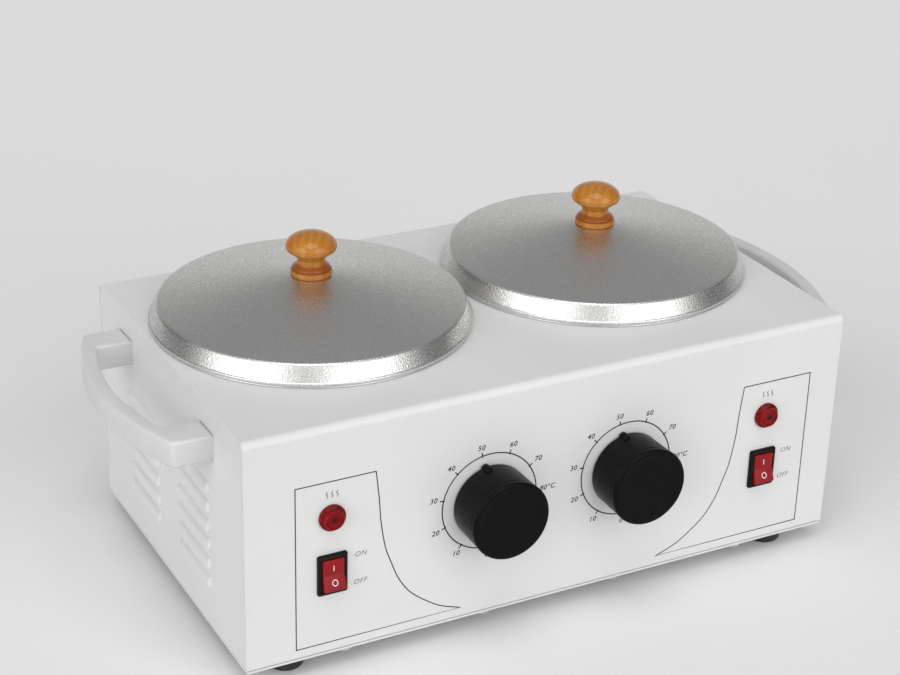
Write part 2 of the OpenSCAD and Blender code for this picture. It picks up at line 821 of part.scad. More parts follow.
// ---------------------------------------------------------------- dials

module dial_shaft(side) {
    color("silver") on_front(side * dial_x, dial_z) rotate([0, 0, dial_rest_angle]) difference() {
        translate([0, 0, -shaft_in]) cylinder(shaft_in + shaft_out, r = shaft_r);
        translate([shaft_flat, -shaft_r - 1, shaft_flat_z])
            cube([shaft_r, 2 * shaft_r + 2, shaft_out]);
    }
}

// A hollow knob with a fine groove behind its front edge and a pointer at its base
module dial_knob(side) {
    groove = 0.4;
    edge_z = dial_out - dial_edge_r;
    color([0.1, 0.1, 0.1]) on_front(side * dial_x, dial_z) rotate([0, 0, dial_rest_angle])
        difference() {
            union() {
                difference() {
                    rotate_extrude($fn = 144) polygon(concat(
                        [[0, dial_gap], [dial_base_r, dial_gap],
                         [dial_r - 0.2, dial_groove_z - groove],
                         [dial_r - 0.2 - groove, dial_groove_z],
                         [dial_r, dial_groove_z + groove]],
                        arc(dial_r - dial_edge_r, edge_z, dial_edge_r, 0, 90),
                        [[0, dial_out]]));
                    cylinder(dial_out - dial_skin, r = dial_base_r - dial_wall);
                }
                translate([0, 0, boss_z]) cylinder(dial_out - dial_skin - boss_z + 1, r = boss_r);
                translate([dial_base_r - 0.5, 0, dial_gap])
                    intersection() {
                        union() {
                            cylinder(pointer_z - pointer_r, r = pointer_r, $fn = 48);
                            translate([0, 0, pointer_z - pointer_r])
                                sphere(pointer_r * 1.001, $fn = 48);
                        }
                        translate([-0.8, -pointer_r - 1, 0])
                            cube([2 * pointer_r, 2 * pointer_r + 2, pointer_z + 1]);
                    }
            }
            difference() {
                cylinder(shaft_out + 0.3, r = shaft_r + 0.02);
                translate([shaft_flat + 0.02, -shaft_r - 1, shaft_flat_z])
                    cube([shaft_r, 2 * shaft_r + 2, shaft_out]);
            }
        }
}

// ---------------------------------------------------------------- switches

// Places of a switch's two blade terminals, on its rear face
module at_switch_tabs() {
    for (s = [-1, 1]) translate([0, s * switch_tab_y, -switch_back]) children();
}

module switch_housing(side) {
    color([0.08, 0.08, 0.08]) on_front(side * switch_x, switch_z) difference() {
        union() {
            chamfered_block(bezel_w, bezel_h, bezel_t, 0.8);
            translate([-switch_body_w / 2, -switch_body_h / 2, -switch_back])
                cube([switch_body_w, switch_body_h, switch_back + 1]);
        }
        translate([-rocker_w / 2 - rocker_side_gap, -rocker_arc_r - rocker_fit, switch_well_z])
            cube([rocker_w + 2 * rocker_side_gap, 2 * (rocker_arc_r + rocker_fit), 20]);
        translate([0, 0, pivot_z]) rotate([0, 90, 0])
            cylinder(2 * rocker_pin_half + 0.4, r = rocker_pin_r + turn_fit, center = true);
        at_switch_tabs()
            cube([switch_tab_w + 0.1, tab_t + 0.1, 2 * tab_seat + 0.1], center = true);
    }
}

module switch_terminals() {
    color("silver") for (side = [-1, 1])
        on_front(side * switch_x, switch_z) at_switch_tabs()
            translate([-switch_tab_w / 2, -tab_t / 2, -switch_tab_len])
                cube([switch_tab_w, tab_t, switch_tab_len + tab_seat]);
}

// Two faces that meet at the pivot; the upper one is pressed in, so the lower stands out
module switch_rocker(side) {
    reach = rocker_arc_r + 1;
    color("firebrick") on_front(side * switch_x, switch_z) translate([0, 0, pivot_z]) {
        along_x(rocker_w) intersection() {
            circle(rocker_arc_r, $fn = 96);
            polygon([[-reach, -rocker_under], [reach, -rocker_under], [reach, rocker_face],
                     [0, rocker_face], [-reach, rocker_face + reach * tan(rocker_travel)]]);
        }
        rotate([0, 90, 0]) cylinder(2 * rocker_pin_half, r = rocker_pin_r, center = true);
    }
}

// ---------------------------------------------------------------- lamps

// A stepped red lens whose stem plugs into the holder
module lamp_lens(side) {
    round_r = 0.5;
    color("firebrick") on_front(side * switch_x, lamp_z) difference() {
        rotate_extrude($fn = 96) polygon(concat(
            [[0, -lens_stem_in], [lens_stem_r, -lens_stem_in], [lens_stem_r, 0], [lamp_r, 0]],
            arc(lamp_r - round_r, lens_flange_t - round_r, round_r, 0, 60, 4),
            arc(lens_face_r - round_r, lens_out - round_r, round_r, 40, 90, 4),
            [[lens_face_r - 1.2, lens_out - 0.5], [0, lens_out - 0.5]]));
        translate([0, 0, -lens_stem_in - 1]) cylinder(lens_stem_in + 2, r = bulb_r + 0.3);
    }
}

// A tube through the panel, closed at the back but for two lead holes
module lamp_holders() {
    color([0.1, 0.1, 0.1]) for (s = [-1, 1])
        on_front(s * switch_x, lamp_z) difference() {
            translate([0, 0, -holder_back]) cylinder(holder_back, r = holder_r);
            translate([0, 0, 2 - holder_back]) cylinder(holder_back, r = lens_stem_r + 0.02);
        }
}

module lamp_nuts() {
    color("silver") for (s = [-1, 1])
        on_front(s * switch_x, lamp_z) translate([0, 0, -sheet_t - lamp_nut_t])
            hex_nut(2 * lamp_nut_r * cos(30), lamp_nut_t, holder_r + screw_fit);
}

// Glow lamps that stand on the holders' closed ends
module neon_bulbs() {
    base = 2 - holder_back;
    color("orange") for (s = [-1, 1])
        on_front(s * switch_x, lamp_z) rotate_extrude()
            polygon(concat([[0, base], [bulb_r, base]],
                           arc(0, base + bulb_len - bulb_r, bulb_r, 0, 90)));
}

// ---------------------------------------------------------------- mains inlet

// A screwed gland with an open bore for the mains cord
module cord_gland() {
    round_r = 1.5;
    color([0.1, 0.1, 0.1]) on_rear(gland_x, gland_z) difference() {
        rotate_extrude($fn = 96) polygon(concat(
            [[0, -gland_in], [gland_thread_r, -gland_in], [gland_thread_r, 0],
             [gland_flange_r, 0]],
            arc(gland_flange_r - 1, gland_flange_t - 1, 1, 0, 90, 4),
            [[gland_nose_r, gland_flange_t]],
            arc(gland_nose_r - round_r, gland_out - round_r, round_r, 0, 90, 4),
            [[0, gland_out]]));
        translate([0, 0, -gland_in - 1]) cylinder(gland_in + gland_out + 2, r = gland_bore_r);
    }
}

module gland_nut() {
    color([0.1, 0.1, 0.1]) on_rear(gland_x, gland_z)
        translate([0, 0, -sheet_t - gland_nut_h])
            hex_nut(gland_nut_w, gland_nut_h, gland_thread_r + screw_fit);
}

// Places of the three poles of the terminal block: live, earth and neutral
module at_poles() {
    in_body() for (x = [-pole_x, 0, pole_x]) translate([x, block_y, sleeve_z]) children();
}

module terminal_block() {
    color("ivory") difference() {
        in_body() translate([-block_w / 2, block_front, sheet_t]) cube([block_w, block_d, block_h]);
        at_poles() rotate([90, 0, 0])
            cylinder(block_d + 2, r = sleeve_r + screw_fit, center = true);
        at_poles() for (s = [-1, 1])
            translate([0, s * pole_screw_y, 0]) cylinder(block_h, r = pole_screw_r + 0.6);
        in_body() for (x = [-1, 1])
            translate([x * block_fix_x, block_y, 0])
                cylinder(base_screw_len + 1, r = tapping_r + screw_fit);
    }
}

module terminal_sleeves() {
    color("gold") at_poles() difference() {
        rotate([90, 0, 0]) cylinder(block_d - 1, r = sleeve_r, center = true);
        rotate([90, 0, 0]) cylinder(block_d + 1, r = sleeve_bore_r, center = true);
        for (s = [-1, 1])
            translate([0, s * pole_screw_y, 0]) cylinder(10, r = pole_screw_r + screw_fit);
    }
}

module terminal_screws() {
    color("silver") at_poles() for (s = [-1, 1])
        translate([0, s * pole_screw_y, wire_r + 0.1]) cylinder(4.2, r = pole_screw_r);
}

// ---------------------------------------------------------------- pots and lids

// A drawn pot that stands on its well's floor and lies with its rim on the top panel
module wax_pot(side) {
    inner_r = pot_corner_r - pot_wall;
    color("silver") at_pot(side) rotate_extrude($fn = 144) polygon(concat(
        [[0, pot_floor_z]],
        arc(pot_out_r - pot_corner_r, pot_floor_z + pot_corner_r, pot_corner_r, -90, 0, 8),
        [[pot_out_r, rim_step - pot_wall], [rim_step_r - 1.6, rim_step - pot_wall],
         [rim_step_r - 1.6, 0], [rim_r, 0], [rim_r, rim_t], [rim_step_r, rim_t],
         [rim_step_r, rim_step - 0.6], [rim_step_r - 0.6, rim_step], [pot_r + 0.8, rim_step],
         [pot_r, rim_step - 0.8]],
        arc(pot_r - inner_r, pot_floor_z + pot_wall + inner_r, inner_r, 0, -90, 8),
        [[0, pot_floor_z + pot_wall]]));
}

module at_lid(side) { at_pot(side) translate([0, 0, rim_t]) children(); }

// Outer outline of a lid, from its rim to its flat top, moved in by a wall
function lid_outline(wall) =
    let (skirt = atan2(lid_edge_z - lid_bead_h, lid_edge_r - (lid_r - 0.6)) - 90,
         cone = 90 - atan2(lid_cone_h, lid_edge_r - lid_flat_r),
         r = lid_round_r - wall,
         cx = lid_edge_r - lid_round_r,
         cz = lid_edge_z - lid_round_r)
    concat(arc(cx, cz, r, skirt, cone), [[lid_flat_r, lid_top_z - wall]]);

// A spun cone with a slanted skirt and a beaded rim
module lid_shell(side) {
    bead_in = lid_r - lid_bead_w;
    round_r = 0.6;
    inner = lid_outline(lid_wall);
    color("silver") at_lid(side) difference() {
        rotate_extrude($fn = 144) polygon(concat(
            [[bead_in, 0]],
            arc(lid_r - round_r, round_r, round_r, -90, 0, 3),
            arc(lid_r - round_r, lid_bead_h - round_r, round_r, 0, 60, 3),
            lid_outline(0),
            [[0, lid_top_z], [0, lid_top_z - lid_wall]],
            [for (i = [len(inner) - 1 : -1 : 0]) inner[i]],
            [[bead_in, lid_bead_h]]));
        translate([0, 0, lid_top_z - 3]) cylinder(4, r = lid_screw_r + 0.2);
    }
}

// A turned knob: a foot ring with a step, a waist and a flattened mushroom cap
module lid_knob(side) {
    foot_t = 3.3;
    waist_z = 7.6;
    cap_z = 15.2;
    cap_h = lid_knob_h - cap_z;
    under_h = cap_z - waist_z - 1.2;
    cap = [for (i = [0 : 10]) let (a = i * 9)
        [lid_knob_cap_r * cos(a), cap_z + cap_h * sin(a)]];
    under = [for (i = [0 : 6]) let (a = i * 12.5 - 75)
        [lid_knob_cap_r * cos(a), cap_z + under_h * sin(a)]];
    color("peru") at_lid(side) translate([0, 0, lid_top_z]) difference() {
        rotate_extrude($fn = 96) polygon(concat(
            [[0, 0]],
            arc(lid_knob_foot_r - 1.4, 1.5, 1.5, -80, 90),
            [[lid_knob_foot_r - 2, foot_t + 0.2],
             [lid_knob_neck_r + 0.5, foot_t + 1.6],
             [lid_knob_neck_r, waist_z - 0.6],
             [lid_knob_neck_r, waist_z]],
            [for (p = under) if (p[0] > lid_knob_neck_r) p],
            cap));
        translate([0, 0, -1]) cylinder(lid_screw_len, r = lid_screw_r + screw_fit);
    }
}

// The screw that holds a knob, up from inside its lid
module lid_screw(side) {
    color("silver") at_lid(side) translate([0, 0, lid_top_z - lid_wall])
        screw(lid_screw_r, lid_screw_len - 2, m4_head_r, m4_head_h);
}

// ---------------------------------------------------------------- wiring

// Six wires a side: live to switch, switch to thermostat, thermostat to heater,
// heater to neutral, and the lamp's two leads
module wires(side) {
    switch_tip = switch_back + switch_tab_len - half_d;
    dial_tip = thermostat_back + tab_len - half_d;
    lamp_tip = holder_back - half_d;
    tap_y = pot_y - heater_r - tab_len + heater_tab_in;
    tab_low = body_h + heater_low_z + (heater_t - tab_t) / 2;
    tab_z = dial_z + thermostat_tab_z;
    live_x = -side * pole_x + pair_gap;
    neutral_x = side * pole_x + pair_gap;
    first_x = dial_x - first_tab_x;
    second_x = dial_x - second_tab_x;
    near_x = pot_x - tab_x;
    far_x = pot_x + tab_x - 1.2 * wire_r;
    lamp_x = pot_x + tab_x + 1.2 * wire_r;
    low_blade_z = switch_z - switch_tab_y;
    high_blade_z = switch_z + switch_tab_y;
    color("tomato") on_side(side) in_body() {
        wire([[live_x, block_front + wire_seat, sleeve_z], [live_x, live_run_y, sleeve_z],
              [live_x, live_run_y, live_run_z], [live_forward_x, live_run_y, live_run_z],
              [live_forward_x, switch_tip + switch_turn - 4, live_run_z],
              [switch_x, switch_tip + switch_turn - 4, live_run_z],
              [switch_x, switch_tip + switch_turn - 4, low_blade_z],
              [switch_x, switch_tip, low_blade_z]]);
        wire([[switch_x, switch_tip, high_blade_z],
              [switch_x, switch_tip + switch_turn, high_blade_z],
              [switch_x, switch_tip + switch_turn, switch_run_z],
              [first_x, switch_tip + switch_turn, switch_run_z],
              [first_x, dial_tip + dial_turn, switch_run_z],
              [first_x, dial_tip + dial_turn, tab_z], [first_x, dial_tip, tab_z]]);
        wire([[second_x, dial_tip, tab_z], [second_x, dial_tip + dial_turn, tab_z],
              [second_x, dial_tip + dial_turn, heater_run_z],
              [near_x, dial_tip + dial_turn, heater_run_z],
              [near_x, tap_y, heater_run_z], [near_x, tap_y, tab_low]]);
        wire([[neutral_x, block_front + wire_seat, sleeve_z],
              [neutral_x, neutral_run_y, neutral_run_z], [far_x, neutral_run_y, neutral_run_z],
              [far_x, tap_y, neutral_run_z], [far_x, tap_y, tab_low]]);
        wire([[switch_x - lamp_lead_x, lamp_tip, lamp_z],
              [switch_x - lamp_lead_x, lamp_tip + switch_turn, lamp_z],
              [second_x, lamp_tip + switch_turn, lamp_z],
              [second_x, lamp_tip + switch_turn, tab_z + tab_w / 2]]);
        wire([[switch_x + lamp_lead_x, lamp_tip, lamp_z],
              [switch_x + lamp_lead_x, lamp_tip + switch_turn + 2, lamp_z],
              [switch_x + lamp_lead_x, lamp_tip + switch_turn + 2, lamp_run_z],
              [lamp_x, lamp_tip + switch_turn + 2, lamp_run_z],
              [lamp_x, tap_y, lamp_run_z], [lamp_x, tap_y, tab_low]]);
    }
}

// From the middle pole to the nut on the earth stud
module earth_wire() {
    color("yellowgreen") in_body()
        wire([[0, block_front + wire_seat, sleeve_z], [0, earth_y, sleeve_z],
              [0, earth_y, earth_lug_z],
              [earth_x - m4_nut_w / 2 - wire_r / 2, earth_y, earth_lug_z]]);
}

// ---------------------------------------------------------------- left and right

module end_panel_left() { end_panel(-1); }
module end_panel_right() { end_panel(1); }
module foot_front_left() { foot(-1, -1); }
module foot_front_right() { foot(1, -1); }
module foot_rear_left() { foot(-1, 1); }
module foot_rear_right() { foot(1, 1); }
module handle_left() { handle(-1); }
module handle_right() { handle(1); }
module well_left() { well(-1); }
module well_right() { well(1); }
module heater_left() { heater(-1); }
module heater_right() { heater(1); }
module thermostat_left() { thermostat(-1); }
module thermostat_right() { thermostat(1); }
module sensor_left() { sensor(-1); }
module sensor_right() { sensor(1); }
module dial_shaft_left() { dial_shaft(-1); }
module dial_shaft_right() { dial_shaft(1); }
module dial_knob_left() { dial_knob(-1); }
module dial_knob_right() { dial_knob(1); }
module switch_left() { switch_housing(-1); }
module switch_right() { switch_housing(1); }
module switch_rocker_left() { switch_rocker(-1); }
module switch_rocker_right() { switch_rocker(1); }
module lamp_lens_left() { lamp_lens(-1); }
module lamp_lens_right() { lamp_lens(1); }
module wax_pot_left() { wax_pot(-1); }
module wax_pot_right() { wax_pot(1); }
module lid_shell_left() { lid_shell(-1); }
module lid_shell_right() { lid_shell(1); }
module lid_knob_left() { lid_knob(-1); }
module lid_knob_right() { lid_knob(1); }
module lid_screw_left() { lid_screw(-1); }
module lid_screw_right() { lid_screw(1); }
module wires_left() { wires(-1); }
module wires_right() { wires(1); }

cover();
end_panel_left();
end_panel_right();
base_plate();
base_screws();
foot_front_left();
foot_front_right();
foot_rear_left();
foot_rear_right();
m4_screws();
m4_nuts();
handle_left();
handle_right();
handle_screws();
handle_washers();
well_left();
well_right();
heater_left();
heater_right();
insulation_pads();
clamp_plates();
thermostat_left();
thermostat_right();
thermostat_screws();
thermostat_terminals();
sensor_left();
sensor_right();
sensor_clips();
dial_shaft_left();
dial_shaft_right();
dial_knob_left();
dial_knob_right();
switch_left();
switch_right();
switch_terminals();
switch_rocker_left();
switch_rocker_right();
lamp_lens_left();
lamp_lens_right();
lamp_holders();
lamp_nuts();
neon_bulbs();
cord_gland();
gland_nut();
terminal_block();
terminal_sleeves();
terminal_screws();
wax_pot_left();
wax_pot_right();
lid_shell_left();
lid_shell_right();
lid_knob_left();
lid_knob_right();
lid_screw_left();
lid_screw_right();
wires_left();
wires_right();
earth_wire();
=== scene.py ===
# %% [markdown]
# # A double pot wax warmer
# A white sheet-metal box keeps two pots of depilatory wax warm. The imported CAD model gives
# every piece its place and its motion. This notebook dresses it: turned aluminium lids,
# varnished wooden knobs, moulded handles and dials, and the printing on the front panel.
# Each cell builds one thing, and the text before it says what that is.

# %% Load the frame
import json
import math

import bmesh
import bpy
from mathutils import Matrix, Vector


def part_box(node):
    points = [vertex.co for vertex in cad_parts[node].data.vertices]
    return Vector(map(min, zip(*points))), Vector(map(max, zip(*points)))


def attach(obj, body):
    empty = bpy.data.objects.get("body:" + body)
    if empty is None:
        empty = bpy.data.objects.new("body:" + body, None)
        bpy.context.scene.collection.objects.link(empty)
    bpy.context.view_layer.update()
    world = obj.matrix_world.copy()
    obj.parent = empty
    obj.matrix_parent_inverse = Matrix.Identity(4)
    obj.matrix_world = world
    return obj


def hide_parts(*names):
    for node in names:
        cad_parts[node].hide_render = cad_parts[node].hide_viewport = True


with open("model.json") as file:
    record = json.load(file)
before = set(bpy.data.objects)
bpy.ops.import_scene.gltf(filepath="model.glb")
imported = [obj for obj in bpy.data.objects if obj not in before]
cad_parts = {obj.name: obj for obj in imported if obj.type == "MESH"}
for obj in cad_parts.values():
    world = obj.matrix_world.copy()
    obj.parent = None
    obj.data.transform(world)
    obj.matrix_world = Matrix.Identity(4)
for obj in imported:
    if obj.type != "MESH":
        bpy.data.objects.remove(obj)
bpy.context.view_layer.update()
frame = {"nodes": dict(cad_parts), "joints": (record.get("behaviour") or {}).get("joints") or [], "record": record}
cad_nodes = frame["nodes"]
MM = 0.001
SIDES = {"left": -1, "right": 1}


def in_mm(vector):
    """A size or a place in millimetres."""
    return [round(value / MM, 1) for value in vector]


# %% [markdown]
# ## Landmarks
# The front panel, the pots' middles and the dials' axes could be typed in again from the
# CAD source. They are read from the frame instead, so that a change in the CAD moves the
# dressed pieces with it.

# %% Read the landmarks
def middle(node):
    """The middle of a CAD node's box."""
    low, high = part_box(node)
    return (low + high) / 2


panel_low, panel_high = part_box("cover")
front_y, top_z = panel_low.y, panel_high.z
pin_of = {hinge["child"]: Vector(hinge["pos_m"]) for hinge in frame["joints"]
          if "pos_m" in hinge}


def on_front(x, z, y=front_y):
    """A place where local +Z points out of the front panel and local +Y is up."""
    return Matrix.Translation((x, y, z)) @ Matrix.Rotation(math.pi / 2, 4, "X")


def upright(centre, z):
    """A place in line with a centre, at the height z."""
    return Matrix.Translation((centre.x, centre.y, z))


def standing(node):
    """The middle of the underside of a CAD node's box."""
    return upright(middle(node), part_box(node)[0].z)


print("front y and top z in mm:", in_mm((front_y, top_z)), "pins:", list(pin_of))

# %% [markdown]
# ## Making shapes
# Most of the visible pieces are turned on a lathe, pressed or moulded. Plain cylinders and
# cubes lack their soft corners. So three small helpers make the shapes, in millimetres: an
# outline with rounded corners, a body turned from an outline, and a skin over loops.

# %% Outlines with rounded corners
def rounded(points, steps=5):
    """A closed outline of (x, y) points, where a third number rounds that corner."""
    outline = []
    for i, point in enumerate(points):
        here = Vector(point[:2])
        radius = point[2] if len(point) > 2 else 0
        if not radius:
            outline.append(here)
            continue
        back = (Vector(points[i - 1][:2]) - here).normalized()
        ahead = (Vector(points[(i + 1) % len(points)][:2]) - here).normalized()
        half = math.acos(max(-1, min(1, back.dot(ahead)))) / 2
        centre = here + (back + ahead).normalized() * radius / math.sin(half)
        start = here + back * radius / math.tan(half) - centre
        end = here + ahead * radius / math.tan(half) - centre
        first = math.atan2(start.y, start.x)
        last = math.atan2(end.y, end.x)
        sweep = (last - first + math.pi) % (2 * math.pi) - math.pi
        for k in range(steps + 1):
            t = first + sweep * k / steps
            outline.append(centre + Vector((math.cos(t), math.sin(t))) * radius)
    return outline


def arc(cx, cy, rx, ry, start, end, steps):
    """Points along part of an ellipse; angles in degrees."""
    turns = [math.radians(start + (end - start) * k / steps) for k in range(steps + 1)]
    return [(cx + rx * math.cos(t), cy + ry * math.sin(t)) for t in turns]


def loop_of(width, height, radius, z, steps=6):
    """A rounded rectangle at height z, as one loop of points."""
    w, h = width / 2, height / 2
    corners = [(w, h, radius), (-w, h, radius), (-w, -h, radius), (w, -h, radius)]
    return [(p.x, p.y, z) for p in rounded(corners, steps)]


# %% Turned and skinned bodies
ON_AXIS = 1e-6


def turned(outline, steps):
    """Turns a closed outline of (radius, height) about +Z."""
    bm = bmesh.new()
    rings = []
    for r, z in outline:
        count = steps if r > ON_AXIS else 1
        turns = [2 * math.pi * k / steps for k in range(count)]
        rings.append([bm.verts.new((r * math.cos(t) * MM, r * math.sin(t) * MM, z * MM))
                      for t in turns])
    for low, high in zip(rings, rings[1:] + rings[:1]):
        if len(low) == len(high) == 1:
            continue
        for i in range(steps):
            j = (i + 1) % steps
            corners = (low[i % len(low)], low[j % len(low)],
                       high[j % len(high)], high[i % len(high)])
            bm.faces.new(dict.fromkeys(corners))
    bmesh.ops.recalc_face_normals(bm, faces=bm.faces)
    return bm


def skinned(loops):
    """A skin over loops of equal length, closed at both ends."""
    bm = bmesh.new()
    rows = [[bm.verts.new(Vector(p) * MM) for p in loop] for loop in loops]
    bm.faces.new(rows[0])
    bm.faces.new(rows[-1])
    for low, high in zip(rows, rows[1:]):
        for i in range(len(low)):
            j = (i + 1) % len(low)
            bm.faces.new((low[i], low[j], high[j], high[i]))
    bmesh.ops.recalc_face_normals(bm, faces=bm.faces)
    return bm


# %% From shapes to a piece of the model
CREASE = 32


def joined(*parts):
    """One bmesh from several, each given as (bmesh, matrix)."""
    whole = bmesh.new()
    for part, place in parts:
        part.transform(place)
        mesh = bpy.data.meshes.new("part")
        part.to_mesh(mesh)
        part.free()
        whole.from_mesh(mesh)
        bpy.data.meshes.remove(mesh)
    return whole


def make(name, bm, body, slot, place, node=None, ink=None, crease=CREASE):
    """Turns a bmesh into a piece that rides on a body and may stand for a CAD node.

    It has the finish of its slot, or an ink. Edges over crease degrees stay sharp."""
    mesh = bpy.data.meshes.new(name)
    bm.to_mesh(mesh)
    bm.free()
    mesh.polygons.foreach_set("use_smooth", [True] * len(mesh.polygons))
    mesh.set_sharp_from_angle(angle=math.radians(crease))
    mesh.materials.append(finish[ink or slot])
    piece = bpy.data.objects.new(name, mesh)
    bpy.context.scene.collection.objects.link(piece)
    piece.matrix_world = place
    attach(piece, body)
    if node:
        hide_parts(node)
    print(f"{name}: {len(mesh.polygons)} faces, rides on {body}, {ink or slot}")


# %% [markdown]
# ## Effects that several finishes share
# Paint, rubber and blasted metal all have a fine grain, only of different size. Each
# material could hold its own noise, but then each change would be made many times. So the
# grain is built once as a node group, and each material sets its size. So are slow changes
# of tone, the rings that a lathe leaves, and settled dust.

# %% Helpers for nodes
def new_group(name, inputs, outputs):
    """A node group, with the nodes that take its inputs and give its outputs."""
    group = bpy.data.node_groups.new(name, "ShaderNodeTree")
    for label, value in inputs.items():
        socket = group.interface.new_socket(
            name=label, in_out="INPUT", socket_type="NodeSocketFloat")
        socket.default_value = value
    for label in outputs:
        group.interface.new_socket(
            name=label, in_out="OUTPUT", socket_type="NodeSocketFloat")
    print("node group:", name, "takes", list(inputs), "gives", outputs)
    return group, group.nodes.new("NodeGroupInput"), group.nodes.new("NodeGroupOutput")


def set_plain(node, values):
    """Sets plain input values; in a label here, _ stands for a space."""
    for label, value in values.items():
        node.inputs[label.replace("_", " ")].default_value = value
    return node


def add_node(tree, kind, **values):
    return set_plain(tree.nodes.new("ShaderNode" + kind), values)


def on_piece(tree, kind, **values):
    """A node that reads the piece's own coordinates, so its pattern moves with it."""
    node = add_node(tree, kind, **values)
    coordinates = add_node(tree, "TexCoord")
    tree.links.new(coordinates.outputs["Object"], node.inputs["Vector"])
    return node


def math_node(tree, operation, *values):
    """A Math node; each value is a number or a socket."""
    node = add_node(tree, "Math")
    node.operation = operation
    for socket, value in zip(node.inputs, values):
        if isinstance(value, (int, float)):
            socket.default_value = value
        else:
            tree.links.new(value, socket)
    return node.outputs[0]


def ranged(tree, value, low, high, start=0.0, end=1.0):
    """Maps a value from start..end to low..high, clamped."""
    node = add_node(tree, "MapRange", From_Min=start, From_Max=end, To_Min=low, To_Max=high)
    tree.links.new(value, node.inputs["Value"])
    return node.outputs["Result"]


def sized_noise(group, take, **values):
    """Noise with blobs about as wide as the group's Size mm."""
    noise = on_piece(group, "TexNoise", **values)
    per_metre = math_node(group, "DIVIDE", 1 / MM, take.outputs["Size mm"])
    group.links.new(per_metre, noise.inputs["Scale"])
    return noise


# %% The grain group: height, and flecks where the grain stands highest
grain_group, take, give = new_group(
    "grain", {"Size mm": 1.0, "Detail": 3.0}, ["Height", "Fleck"])
grain = sized_noise(grain_group, take, Roughness=0.62)
grain_group.links.new(take.outputs["Detail"], grain.inputs["Detail"])
grain_group.links.new(grain.outputs["Fac"], give.inputs["Height"])
fleck = ranged(grain_group, grain.outputs["Fac"], 0, 1, start=0.56, end=0.72)
grain_group.links.new(fleck, give.inputs["Fleck"])

# %% The tone group: slow, cloudy changes
tone_group, take, give = new_group("tone", {"Size mm": 60.0}, ["Amount"])
clouds = sized_noise(tone_group, take, Detail=4, Roughness=0.55)
amount = ranged(tone_group, clouds.outputs["Fac"], 0, 1, start=0.3, end=0.7)
tone_group.links.new(amount, give.inputs["Amount"])

# %% The turning group: rings about the piece's own +Z axis
turning_group, take, give = new_group("turning rings", {"Pitch mm": 0.4}, ["Height"])
split = on_piece(turning_group, "SeparateXYZ")
flat = add_node(turning_group, "CombineXYZ")
for label in ("X", "Y"):
    turning_group.links.new(split.outputs[label], flat.inputs[label])
from_axis = add_node(turning_group, "VectorMath")
from_axis.operation = "LENGTH"
turning_group.links.new(flat.outputs[0], from_axis.inputs[0])
along = math_node(turning_group, "ADD", from_axis.outputs["Value"], split.outputs["Z"])
pitch = math_node(turning_group, "MULTIPLY", take.outputs["Pitch mm"], MM)
turns = math_node(turning_group, "DIVIDE", along, pitch)
rings = add_node(turning_group, "TexNoise", Scale=1, Detail=2)
rings.noise_dimensions = "1D"
turning_group.links.new(turns, rings.inputs["W"])
turning_group.links.new(rings.outputs["Fac"], give.inputs["Height"])

# %% The dust group: a thin film on faces that look up
dust_group, take, give = new_group("settled dust", {"Amount": 0.3}, ["Film"])
surface = add_node(dust_group, "NewGeometry")
split = add_node(dust_group, "SeparateXYZ")
dust_group.links.new(surface.outputs["Normal"], split.inputs["Vector"])
facing_up = ranged(dust_group, split.outputs["Z"], 0, 1, start=0.3, end=1.0)
specks = on_piece(dust_group, "TexNoise", Scale=900, Detail=5)
patchy = ranged(dust_group, specks.outputs["Fac"], 0, 1, start=0.48, end=0.75)
film = math_node(dust_group, "MULTIPLY", facing_up, patchy)
film = math_node(dust_group, "MULTIPLY", film, take.outputs["Amount"])
dust_group.links.new(film, give.inputs["Film"])

# %% [markdown]
# ## Finishes
# A finish could be one flat colour, but then metal, paint and plastic would look alike.
# Every finish starts as one Principled shader with its plain values on its own sockets.
# What varies over the surface, such as tone, grain or rings, is then linked on top of it.

# %% Helpers for finishes
MIX_FACTOR, MIX_FIRST, MIX_SECOND, MIX_RESULT = 0, 6, 7, 2  # a Mix node's colour sockets


class Finish:
    """A material whose plain values are set once, with effects linked in afterwards."""

    def __init__(self, name, color, roughness, metallic=0.0, **sockets):
        self.material = bpy.data.materials.new(name)
        self.material.use_nodes = True
        self.tree = self.material.node_tree
        self.shader = self.tree.nodes["Principled BSDF"]
        self.shader.inputs["Base Color"].default_value = (*color, 1)
        set_plain(self.shader, {"Roughness": roughness, "Metallic": metallic, **sockets})
        self.relief = None

    def effect(self, group, output, **values):
        """Places one of the groups above, with this material's own values."""
        node = self.tree.nodes.new("ShaderNodeGroup")
        node.node_tree = group
        return set_plain(node, values).outputs[output]

    def link(self, value, socket="Base Color"):
        self.tree.links.new(value, self.shader.inputs[socket])

    def blend(self, factor, first, second):
        """A colour between two; each is a colour or a socket."""
        node = add_node(self.tree, "Mix")
        node.data_type = "RGBA"
        self.tree.links.new(factor, node.inputs[MIX_FACTOR])
        for number, colour in ((MIX_FIRST, first), (MIX_SECOND, second)):
            if isinstance(colour, tuple):
                node.inputs[number].default_value = (*colour, 1)
            else:
                self.tree.links.new(colour, node.inputs[number])
        return node.outputs[MIX_RESULT]

    def vary_gloss(self, value, low, high):
        """Roughness that goes from low to high with the value."""
        self.link(ranged(self.tree, value, low, high), "Roughness")

    def bump(self, height, depth_mm, strength=1.0):
        """Adds relief; a second call sits on top of the first."""
        node = add_node(self.tree, "Bump", Strength=strength, Distance=depth_mm * MM)
        self.tree.links.new(height, node.inputs["Height"])
        if self.relief:
            self.tree.links.new(self.relief, node.inputs["Normal"])
        self.relief = node.outputs["Normal"]
        self.link(self.relief, "Normal")


